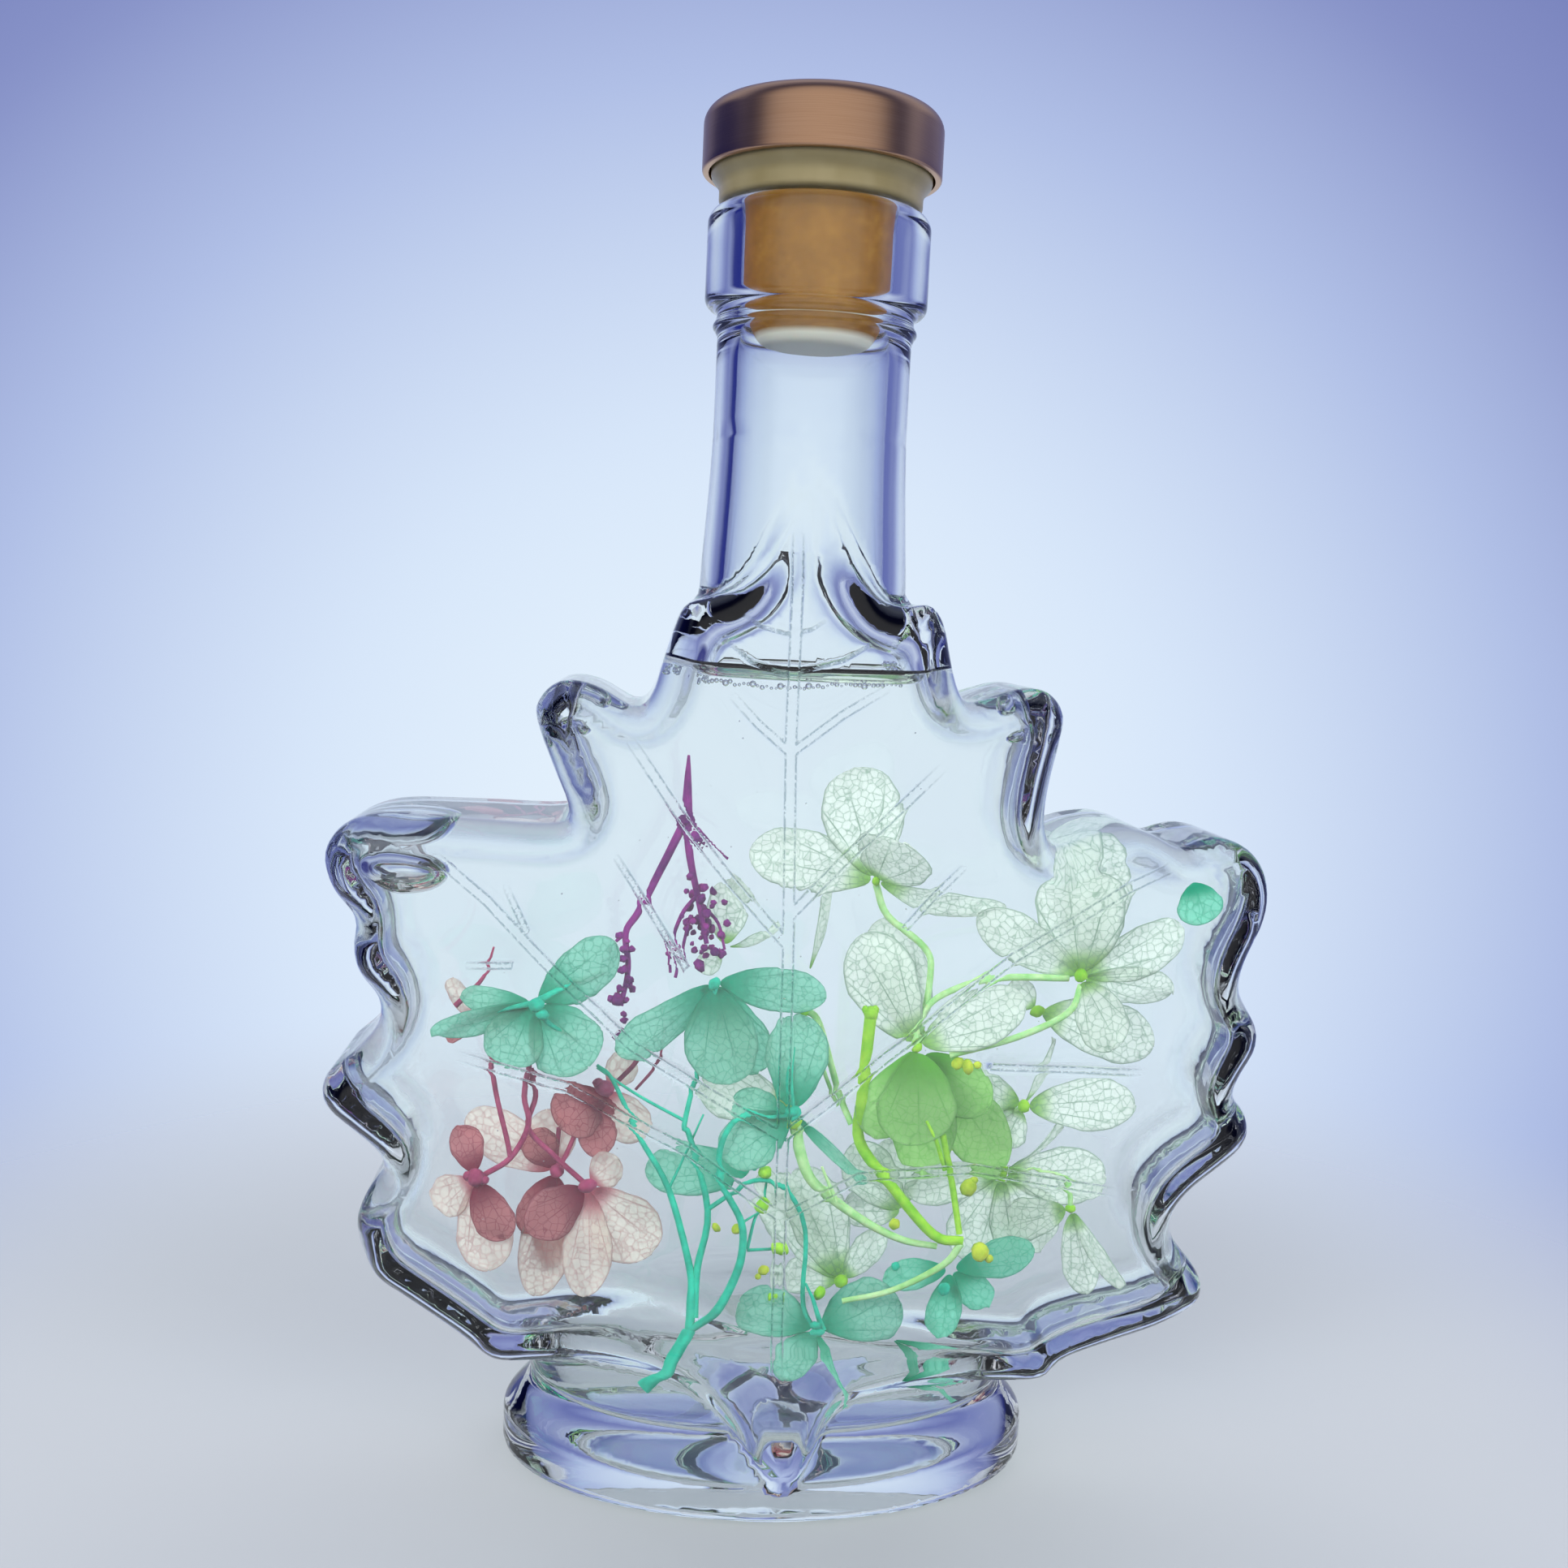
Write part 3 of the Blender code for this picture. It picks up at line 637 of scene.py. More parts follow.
def plug_foam():
    """Tan foamed polymer plug, like cork in colour, with fine darker specks and a softer pale end, which is
    painted light falling on it from below.
    """
    mat, tree = new_material("tan_foamed_polymer")
    coords = add(tree, "ShaderNodeTexCoord")
    specks = add(
        tree, "ShaderNodeTexNoise", {"Scale": 500.0, "Detail": 4.0, "Roughness": 0.6},
        {"Vector": coords.outputs["Object"]},
    )
    tone = add(tree, "ShaderNodeValToRGB", links={"Fac": specks})
    ramp_stops(tone, [(0.30, "#7b5207"), (0.55, "#885c0e"), (0.75, "#956a1a")])
    parts = add(tree, "ShaderNodeSeparateXYZ", links={"Vector": coords.outputs["Object"]})
    # The lowest end of the plug is painted pale: painted light that reaches its underside from below.
    end = add(
        tree, "ShaderNodeMapRange",
        {"From Min": (PLUG_END + 1.2) * MM, "From Max": (PLUG_END + 2.0) * MM, "To Min": 1.0, "To Max": 0.0},
        {"Value": parts.outputs["Z"]},
    )
    specks_and_painted_light = add(
        tree, "ShaderNodeMix", {"B": colour("#d8d6c4")},
        {"Factor": end, "A": tone}, data_type="RGBA",
    )
    bump = add(tree, "ShaderNodeBump", {"Strength": 0.3, "Distance": 0.0001}, {"Height": specks})
    body = add(
        tree, "ShaderNodeBsdfPrincipled",
        {"Roughness": 0.55, "Subsurface Weight": 0.15, "Subsurface Scale": 0.001},
        {"Base Color": specks_and_painted_light.outputs["Result"], "Normal": bump},
    )
    add(tree, "ShaderNodeOutputMaterial", links={"Surface": body})
    return mat


def collar_plastic():
    """Moulded polyethylene collar: milky and pale green-grey, thin enough that the tan plug glows through."""
    mat, tree = new_material("milky_polyethylene")
    coords = add(tree, "ShaderNodeTexCoord")
    cloud = add(
        tree, "ShaderNodeTexNoise", {"Scale": 260.0, "Detail": 2.0}, {"Vector": coords.outputs["Object"]},
    )
    tone = add(tree, "ShaderNodeValToRGB", links={"Fac": cloud})
    ramp_stops(tone, [(0.35, "#cabb86"), (0.65, "#d8ca98")])
    body = add(
        tree, "ShaderNodeBsdfPrincipled", {"Roughness": 0.3, "IOR": 1.4, "Transmission Weight": 0.72},
        {"Base Color": tone},
    )
    add(tree, "ShaderNodeOutputMaterial", links={"Surface": body})
    return mat


def petal_skin(name, pale, vein, heart, cover=0.6, heart_reach=0.45):
    """Preserved hydrangea petal soaked in oil: a see-through skin with a fan and a net of darker veins."""
    mat, tree = new_material(name)
    flat = add(tree, "ShaderNodeUVMap", uv_map="fan")
    parts = add(tree, "ShaderNodeSeparateXYZ", links={"Vector": flat})
    out = add(tree, "ShaderNodeMath", {1: 0.10}, {0: parts.outputs["Y"]}, operation="ADD")
    angle = add(tree, "ShaderNodeMath", links={0: parts.outputs["X"], 1: out}, operation="DIVIDE")
    spread = add(tree, "ShaderNodeMath", {1: 4.2, 2: 0.5}, {0: angle}, operation="MULTIPLY_ADD")
    spoke = add(tree, "ShaderNodeMath", {1: 1.0}, {0: spread}, operation="PINGPONG")
    fan = add(
        tree, "ShaderNodeMapRange", {"From Min": 0.01, "From Max": 0.085, "To Min": 0.95, "To Max": 0.0},
        {"Value": spoke},
    )
    tips = add(
        tree, "ShaderNodeMapRange", {"From Min": 0.45, "From Max": 0.95, "To Min": 1.0, "To Max": 0.0},
        {"Value": parts.outputs["Y"]},
    )
    spokes = add(tree, "ShaderNodeMath", links={0: fan, 1: tips}, operation="MULTIPLY")
    coords = add(tree, "ShaderNodeTexCoord")
    net = add(
        tree, "ShaderNodeTexVoronoi", {"Scale": 1000 / 0.95, "Randomness": 0.95},
        {"Vector": coords.outputs["Object"]}, feature="DISTANCE_TO_EDGE",
    )
    mesh = add(
        tree, "ShaderNodeMapRange", {"From Min": 0.0, "From Max": 0.065, "To Min": 0.7, "To Max": 0.0},
        {"Value": net.outputs["Distance"]},
    )
    outline = add(tree, "ShaderNodeUVMap", uv_map="outline")
    across = add(tree, "ShaderNodeSeparateXYZ", links={"Vector": outline})
    off = add(tree, "ShaderNodeMath", {1: 0.5}, {0: across.outputs["X"]}, operation="SUBTRACT")
    far = add(tree, "ShaderNodeMath", links={0: off}, operation="ABSOLUTE")
    rim = add(
        tree, "ShaderNodeMapRange", {"From Min": 0.468, "From Max": 0.49, "To Min": 0.0, "To Max": 0.6},
        {"Value": far},
    )
    both = add(tree, "ShaderNodeMath", links={0: spokes, 1: mesh}, operation="MAXIMUM")
    lines = add(tree, "ShaderNodeMath", links={0: both, 1: rim}, operation="MAXIMUM")
    near = add(
        tree, "ShaderNodeMapRange", {"From Min": 0.02, "From Max": heart_reach, "To Min": 1.0, "To Max": 0.0},
        {"Value": parts.outputs["Y"]}, interpolation_type="SMOOTHSTEP",
    )
    skin = add(
        tree, "ShaderNodeMix", {"A": colour(pale), "B": colour(heart)}, {"Factor": near}, data_type="RGBA",
    )
    veined = add(
        tree, "ShaderNodeMix", {"B": colour(vein)}, {"Factor": lines, "A": skin.outputs["Result"]},
        data_type="RGBA",
    )
    face = add(tree, "ShaderNodeBsdfDiffuse", {"Roughness": 0.6}, {"Color": veined.outputs["Result"]})
    back = add(tree, "ShaderNodeBsdfTranslucent", links={"Color": veined.outputs["Result"]})
    soft = add(tree, "ShaderNodeMixShader", {0: 0.6}, {1: face, 2: back})
    see = add(
        tree, "ShaderNodeMapRange", {"From Min": 0.0, "From Max": 0.8, "To Min": cover, "To Max": 0.9},
        {"Value": lines},
    )
    deep = add(tree, "ShaderNodeMath", {1: 0.85}, {0: near}, operation="MULTIPLY")
    thick = add(tree, "ShaderNodeMath", links={0: see, 1: deep}, operation="MAXIMUM")
    filtered = add(tree, "ShaderNodeBsdfTransparent", links={"Color": veined.outputs["Result"]})
    mix = add(
        tree, "ShaderNodeMixShader", links={0: thick, 1: filtered, 2: soft},
    )
    add(tree, "ShaderNodeOutputMaterial", links={"Surface": mix})
    return mat


def stem_skin(name, light, dark):
    """Dyed woody stem: matt, with darker lengths and a little bark relief."""
    mat, tree = new_material(name)
    coords = add(tree, "ShaderNodeTexCoord")
    bark = add(
        tree, "ShaderNodeTexNoise", {"Scale": 420.0, "Detail": 4.0, "Roughness": 0.6},
        {"Vector": coords.outputs["Object"]},
    )
    tone = add(tree, "ShaderNodeValToRGB", links={"Fac": bark})
    ramp_stops(tone, [(0.35, dark), (0.65, light)])
    bump = add(tree, "ShaderNodeBump", {"Strength": 0.5, "Distance": 0.0001}, {"Height": bark})
    body = add(
        tree, "ShaderNodeBsdfPrincipled",
        {"Roughness": 0.6, "Subsurface Weight": 0.3, "Subsurface Scale": 0.0006},
        {"Base Color": tone, "Normal": bump},
    )
    add(tree, "ShaderNodeOutputMaterial", links={"Surface": body})
    return mat


def lip_profile():
    """Line up the outside of the neck, over the lip and down the bore."""
    line = [(NECK_R, NECK_JOIN + 2.0), (NECK_R, 134.0), (NECK_R, 138.0), (NECK_R, BEAD_HEIGHT - 1.3)]
    line += arc(NECK_R, BEAD_HEIGHT, BEAD_R - NECK_R, -60, 60, 6)
    line += [(NECK_R + 0.1, LIP_LOW - 0.5)]
    line += arc(LIP_R - 1.3, LIP_LOW + 1.3, 1.3, -80, 0, 8)
    line += [(LIP_R, 148.5), (LIP_R, 152.5)]
    line += arc(LIP_R - 1.9, LIP_TOP - 1.9, 1.9, 0, 90, 9)
    line += arc(BORE_R + 1.0, LIP_TOP - 1.0, 1.0, 90, 180, 7)
    line += [(BORE_R, z) for z in (152.5, 148.0, 143.5, 139.0, 135.0, NECK_JOIN + 2.0)]
    return line


def ribbed_shape(x, y, z):
    """Outside of the glass with the vein ribs on the front face."""
    gap, strength = vein_edge(x, z)
    rise = VEIN_RISE * strength * (1 - eased(-0.25, VEIN_EDGE, gap))
    return outer_shape(x, y, z) - np.where(y < 0, rise, 0.0)


def refine_near_veins(bm, verts):
    """Cut the front face finer along the veins and raise the ribs there."""
    places = coordinates(verts)
    near = vein_edge(places[:, 0], places[:, 2])[0] < 1.4
    front = places[:, 1] < FRONT_FROM
    chosen = {v for v, a, b in zip(verts, near, front) if a and b}
    edges = [e for e in bm.edges if e.verts[0] in chosen and e.verts[1] in chosen]
    bmesh.ops.subdivide_edges(bm, edges=edges, cuts=2, use_grid_fill=True)
    fresh = [v for v in bm.verts if v.co.y < FRONT_FROM]
    places = coordinates(fresh)
    band = (vein_edge(places[:, 0], places[:, 2])[0] < 2.2) & (np.abs(outer_shape(*places.T)) < 0.8)
    settle_verts([v for v, on_band in zip(fresh, band) if on_band], ribbed_shape, rounds=4)


def build_glass(glass):
    """Fine mesh of the bottle, moulded from the CAD solid."""
    bm = remeshed("glass_bottle", GLASS_GRAIN)
    cut_above(bm, NECK_JOIN)
    places = coordinates(bm.verts)
    is_outer = np.abs(outer_shape(*places.T)) < np.abs(inner_shape(*places.T))
    verts = list(bm.verts)
    outer = [v for v, o in zip(verts, is_outer) if o]
    inner = [v for v, o in zip(verts, is_outer) if not o]
    moulded(bm, outer, outer_shape)
    moulded(bm, inner, inner_shape)
    hollow = bm.copy()
    hollow.verts.ensure_lookup_table()
    bmesh.ops.delete(hollow, geom=[hollow.verts[i] for i in np.flatnonzero(is_outer)], context="VERTS")
    refine_near_veins(bm, outer)
    bmesh.ops.triangulate(bm, faces=[f for f in bm.faces if len(f.verts) > 4])
    rims = open_edges(bm)
    half = 0.5 * (NECK_R + BORE_R)
    outer_rim = [e for e in rims if e.verts[0].co.xy.length > half]
    inner_rim = [e for e in rims if e.verts[0].co.xy.length <= half]
    known = set(rims)
    lathe(bm, lip_profile())
    ends = [e for e in open_edges(bm) if e not in known]
    for rim, inside in ((outer_rim, False), (inner_rim, True)):
        ring = [e for e in ends if (e.verts[0].co.xy.length < half) == inside]
        bmesh.ops.bridge_loops(bm, edges=rim + ring)
    bmesh.ops.recalc_face_normals(bm, faces=bm.faces)
    skins = ((ribbed_shape, 1, 0.0), (inner_shape, -1, 0.0))
    places = coordinates(bm.verts)
    front = (places[:, 1] < FRONT_FROM) & (np.abs(outer_shape(*places.T)) < 0.4)
    gap, strength = vein_edge(places[:, 0], places[:, 2])
    piece = to_object(bm, "moulded_glass_bottle", [glass], skins=skins)
    for name, values, elsewhere in (("vein_gap", gap, 5.0), ("vein_strength", strength, 0.0)):
        values = np.where(front, values, elsewhere)
        piece.data.attributes.new(name, "FLOAT", "POINT").data.foreach_set("value", values)
    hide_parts("glass_bottle")
    return hollow


def air_bubble(bm, centre, radii, turn=0.0, detail=3):
    """Hollow in the oil: a small ball whose faces look inward."""
    made = bmesh.ops.create_icosphere(bm, subdivisions=detail, radius=1.0)
    verts = made["verts"]
    place = Matrix.Translation(centre) @ Matrix.Rotation(turn, 4, "Y") @ Matrix.Diagonal((*radii, 1.0))
    bmesh.ops.transform(bm, matrix=place, verts=verts)
    bmesh.ops.reverse_faces(bm, faces=list({f for v in verts for f in v.link_faces}))


MENISCUS = ((0.22, 0.75), (0.32, 0.5), (0.5, 0.34), (0.9, 0.2), (1.6, 0.08))


def build_oil(hollow, oil):
    """Oil filling the hollow, reaching just into the wall, with a curved-up edge and trapped air."""
    settle_verts(list(hollow.verts), inner_shape, offset=INTO_WALL, rounds=1)
    cut_above(hollow, OIL_LEVEL + sum(drop for _, drop in MENISCUS))
    bmesh.ops.reverse_faces(hollow, faces=hollow.faces)
    rim = open_edges(hollow)
    for inward, drop in MENISCUS:
        made = bmesh.ops.extrude_edge_only(hollow, edges=rim)["geom"]
        ring = {v for v in made if isinstance(v, bmesh.types.BMVert)}
        rim = [e for e in made if isinstance(e, bmesh.types.BMEdge) and ring.issuperset(e.verts)]
        for v in ring:
            v.co.xy *= 1 - inward / v.co.xy.length
            v.co.z -= drop
    bmesh.ops.holes_fill(hollow, edges=rim, sides=0)
    bmesh.ops.recalc_face_normals(hollow, faces=hollow.faces)
    rng = random.Random(7)
    air_bubble(hollow, (-47.0, -1.0, 74.8), (5.9, 6.4, 3.1), 0.06, 4)
    air_bubble(hollow, (-26.6, 0.0, 92.6), (1.8, 3.2, 1.2), 0.25, 3)
    air_bubble(hollow, (26.9, 0.0, 93.8), (1.6, 2.8, 1.0), -0.2, 3)
    for px, py, spread, count in (
        (715, 855, 40, 34), (1262, 868, 36, 40), (1400, 1032, 60, 20), (1530, 1045, 16, 16),
        (866, 834, 11, 30),
        (1104, 826, 13, 34),
    ):
        for _ in range(count):
            spot = in_oil(px + rng.uniform(-spread, spread), py + rng.uniform(-10, 10), rng.uniform(-7, 7))
            r = rng.uniform(0.16, 0.42)
            if wall_gap(spot) < -r - 0.2:
                air_bubble(hollow, spot, (r, r, r), detail=2)
    for i in range(44):
        t = i / 43
        px = 868 + 240 * t
        py = 838 + 12 * math.sin(math.pi * t) - 6 * t + rng.uniform(-2, 2)
        r = rng.choice((0.16, 0.20, 0.24, 0.30, 0.42))
        for depth in np.arange(-13.0, -4.0, 0.2):
            spot = in_oil(px, py, depth)
            spot.z = min(spot.z, OIL_LEVEL + 0.3 - r)
            if wall_gap(spot) < -r - 0.12:
                air_bubble(hollow, spot, (r, r, r), detail=2)
                break
    for _ in range(70):
        spot = in_oil(rng.uniform(560, 1420), rng.uniform(880, 1500), rng.uniform(-10, 8))
        r = rng.uniform(0.05, 0.12)
        if wall_gap(spot) < -1.0:
            air_bubble(hollow, spot, (r, r, r), detail=1)
    piece = to_object(hollow, "clear_oil_fill", [oil])
    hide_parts("oil")


def build_closure(foam, milky, metal):
    """Plug, collar and metal cap, turned finer than the CAD solids and with their small edges."""
    top = CAP_TOP - CAP_WALL - GAP
    bm = bmesh.new()
    line = [(0, PLUG_END)]
    for inward, up in (
        (4.2, 0.0), (3.5, 0.06), (2.9, 0.25), (2.4, 0.6), (1.85, 1.3),
        (1.3, 2.2), (0.8, 3.2), (0.4, 4.2), (0.12, 5.2), (0, 6.0),
    ):
        line.append((PLUG_R - inward, PLUG_END + up))
    line += [(PLUG_R, 152.0), (PLUG_R, 158.0), (PLUG_R, top - 0.3), (PLUG_R - 0.3, top), (0, top)]
    lathe(bm, line)
    bmesh.ops.recalc_face_normals(bm, faces=bm.faces)
    plug = to_object(bm, "foam_stopper_plug", [foam], 35)
    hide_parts("stopper_plug")

    bm = bmesh.new()
    bore = PLUG_R + GAP
    line = [(bore, COLLAR_LOW), (COLLAR_NECK_R - 1.2, COLLAR_LOW)]
    line += arc(COLLAR_NECK_R - 0.7, COLLAR_LOW + 0.7, 0.7, -90, 0, 5)
    line += [(COLLAR_NECK_R, CAP_LOW - 2.1), (COLLAR_NECK_R + 0.08, CAP_LOW - 1.7)]
    line += [(COLLAR_NECK_R + 0.3, CAP_LOW - 1.3), (COLLAR_R - 0.35, CAP_LOW - 0.85)]
    line += [(COLLAR_R - 0.08, CAP_LOW - 0.5), (COLLAR_R, CAP_LOW - 0.2)]
    line += [(COLLAR_R, top - 2.2), (COLLAR_R - 0.6, top - 0.7), (COLLAR_R - 2.0, top)]
    line += [(bore, top), (bore, COLLAR_LOW)]
    lathe(bm, line)
    bmesh.ops.recalc_face_normals(bm, faces=bm.faces)
    collar = to_object(bm, "milky_stopper_collar", [milky], 35)
    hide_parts("stopper_collar")

    bm = bmesh.new()
    inner_r = COLLAR_R + GAP
    inner_top = CAP_TOP - CAP_WALL
    line = [(0, CAP_TOP), (5.0, CAP_TOP), (9.5, CAP_TOP)]
    line += arc(CAP_R - CAP_ROUND, CAP_TOP - CAP_ROUND, CAP_ROUND, 90, 0, 10)
    line += [(CAP_R, 163.6), (CAP_R, 161.4)]
    line += arc(CAP_R - 0.3, CAP_LOW + 0.3, 0.3, 0, -90, 4)
    line += [(inner_r, CAP_LOW), (inner_r, inner_top - 1.9), (inner_r - 0.5, inner_top - 0.5)]
    line += [(inner_r - 1.9, inner_top), (0, inner_top)]
    lathe(bm, line)
    bmesh.ops.recalc_face_normals(bm, faces=bm.faces)
    cap = to_object(bm, "turned_metal_cap", [metal], 35)
    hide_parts("metal_cap")


def add_petal(bm, base, tip, width, roll, cup, wave, rng):
    """One petal from base to tip: narrow foot, round end, cupped and slightly waved."""
    outline = bm.loops.layers.uv.get("outline") or bm.loops.layers.uv.new("outline")
    fan = bm.loops.layers.uv.get("fan") or bm.loops.layers.uv.new("fan")
    verts = bmesh.ops.create_grid(bm, x_segments=10, y_segments=16, size=0.5)["verts"]
    along = tip - base
    length = along.length
    along.normalize()
    facing = Vector((0, -1, 0)) + along * along.y
    if facing.length < 0.2:
        facing = Vector((0, 0, 1)) - along * along.z
    facing.normalize()
    facing.rotate(Matrix.Rotation(math.radians(roll), 3, along))
    side = along.cross(facing)
    ripple = rng.uniform(0, 6.28)
    lean = rng.uniform(-0.06, 0.06)
    places = {}
    for v in verts:
        u, turn = v.co.x * 2, (v.co.y + 0.5) * math.pi
        reach = 0.5 - 0.5 * math.cos(turn)
        breadth = max(math.sin(turn), 0.03) * (0.60 + 0.72 * reach - 0.27 * reach * reach) / 1.9
        edge = 1 + (0.03 * math.sin(11 * reach + ripple) + 0.02 * math.sin(23 * reach + 2 * ripple)) * u * u
        x = u * breadth * edge + lean * math.sin(turn)
        places[v] = (u * 0.5 + 0.5, reach, x)
        lift = cup * length * (1 - (2 * reach - 1) ** 2) * 0.5 - 1.1 * abs(cup) * width * x * x
        edge_curl = 0.4 * math.sin(9 * reach + 5 * u) * reach * u * u
        curl = wave * (math.sin(4.5 * reach + ripple + 2.5 * u) * reach + edge_curl)
        v.co = base + along * (reach * length) + side * (x * width) + facing * (lift + curl)
    for f in {f for v in verts for f in v.link_faces}:
        for loop in f.loops:
            u, reach, x = places[loop.vert]
            loop[outline].uv = (u, reach)
            loop[fan].uv = (x, reach)


def build_florets(name, skin, florets, seed, wall=0.12):
    """Petals of several flower heads that share a colour.

    Each head is (pixel x, pixel y, depth) and its petals (tip x, tip y, tip depth, width in pixels, roll).
    """
    rng = random.Random(seed)
    bm = bmesh.new()
    for (cx, cy, depth), petals in florets:
        centre = in_oil(cx, cy, depth)
        for px, py, tip_depth, wide, roll in petals:
            tip = in_oil(px, py, tip_depth)
            step = (tip - centre).normalized() * 0.7
            add_petal(
                bm, centre + step, tip, wide / 10.4, roll + rng.uniform(-8, 8), rng.uniform(0.04, 0.16),
                rng.uniform(0.25, 0.6), rng,
            )
    piece = to_object(bm, name, [skin])
    solid = piece.modifiers.new("thickness", "SOLIDIFY")
    solid.thickness = wall * MM
    solid.offset = 0
    return piece


def add_branch(curve, points, radii):
    """One smooth stem through points in millimetres."""
    spline = curve.splines.new("POLY")
    path = smooth_line(points)
    spline.points.add(len(path) - 1)
    for i, p in enumerate(path):
        t = i / (len(path) - 1)
        spline.points[i].co = (*(p * MM), 1.0)
        spline.points[i].radius = radii[0] + (radii[1] - radii[0]) * t
    spline.use_smooth = True


def smooth_line(points, cuts=5):
    """Open smooth line through the points."""
    ends = [points[0] * 2 - points[1]] + list(points) + [points[-1] * 2 - points[-2]]
    spans = zip(ends, ends[1:], ends[2:], ends[3:])
    return [between(*span, i / cuts) for span in spans for i in range(cuts)] + [points[-1]]


def build_stems(name, skin, branches):
    """Stems of one colour. Each is a list of (pixel x, pixel y, depth) and its start and end radius in mm."""
    curve = bpy.data.curves.new(name, "CURVE")
    curve.dimensions = "3D"
    curve.bevel_depth = MM
    curve.bevel_resolution = 2
    curve.use_fill_caps = True
    for points, radii in branches:
        add_branch(curve, [in_oil(*p) for p in points], radii)
    curve.materials.append(skin)
    obj = placed(name, curve)
    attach(obj, "root")
    return obj


def build_buds(name, skin, buds, seed, rough=0.22):
    """Small seed heads and flower hearts: (pixel x, pixel y, depth, radius in mm)."""
    rng = random.Random(seed)
    bm = bmesh.new()
    for px, py, depth, radius in buds:
        made = bmesh.ops.create_icosphere(bm, subdivisions=2, radius=radius)
        for v in made["verts"]:
            v.co *= 1 + rough * noise.noise(v.co * 2.2 / radius + Vector((px, py, 0)) * 0.37)
        squash = Matrix.Diagonal((rng.uniform(0.8, 1.1), rng.uniform(0.8, 1.1), rng.uniform(0.9, 1.25), 1.0))
        turn = Matrix.Rotation(rng.uniform(0, 3), 4, "Y")
        place = Matrix.Translation(in_oil(px, py, depth)) @ turn @ squash
        bmesh.ops.transform(bm, matrix=place, verts=made["verts"])
    return to_object(bm, name, [skin])


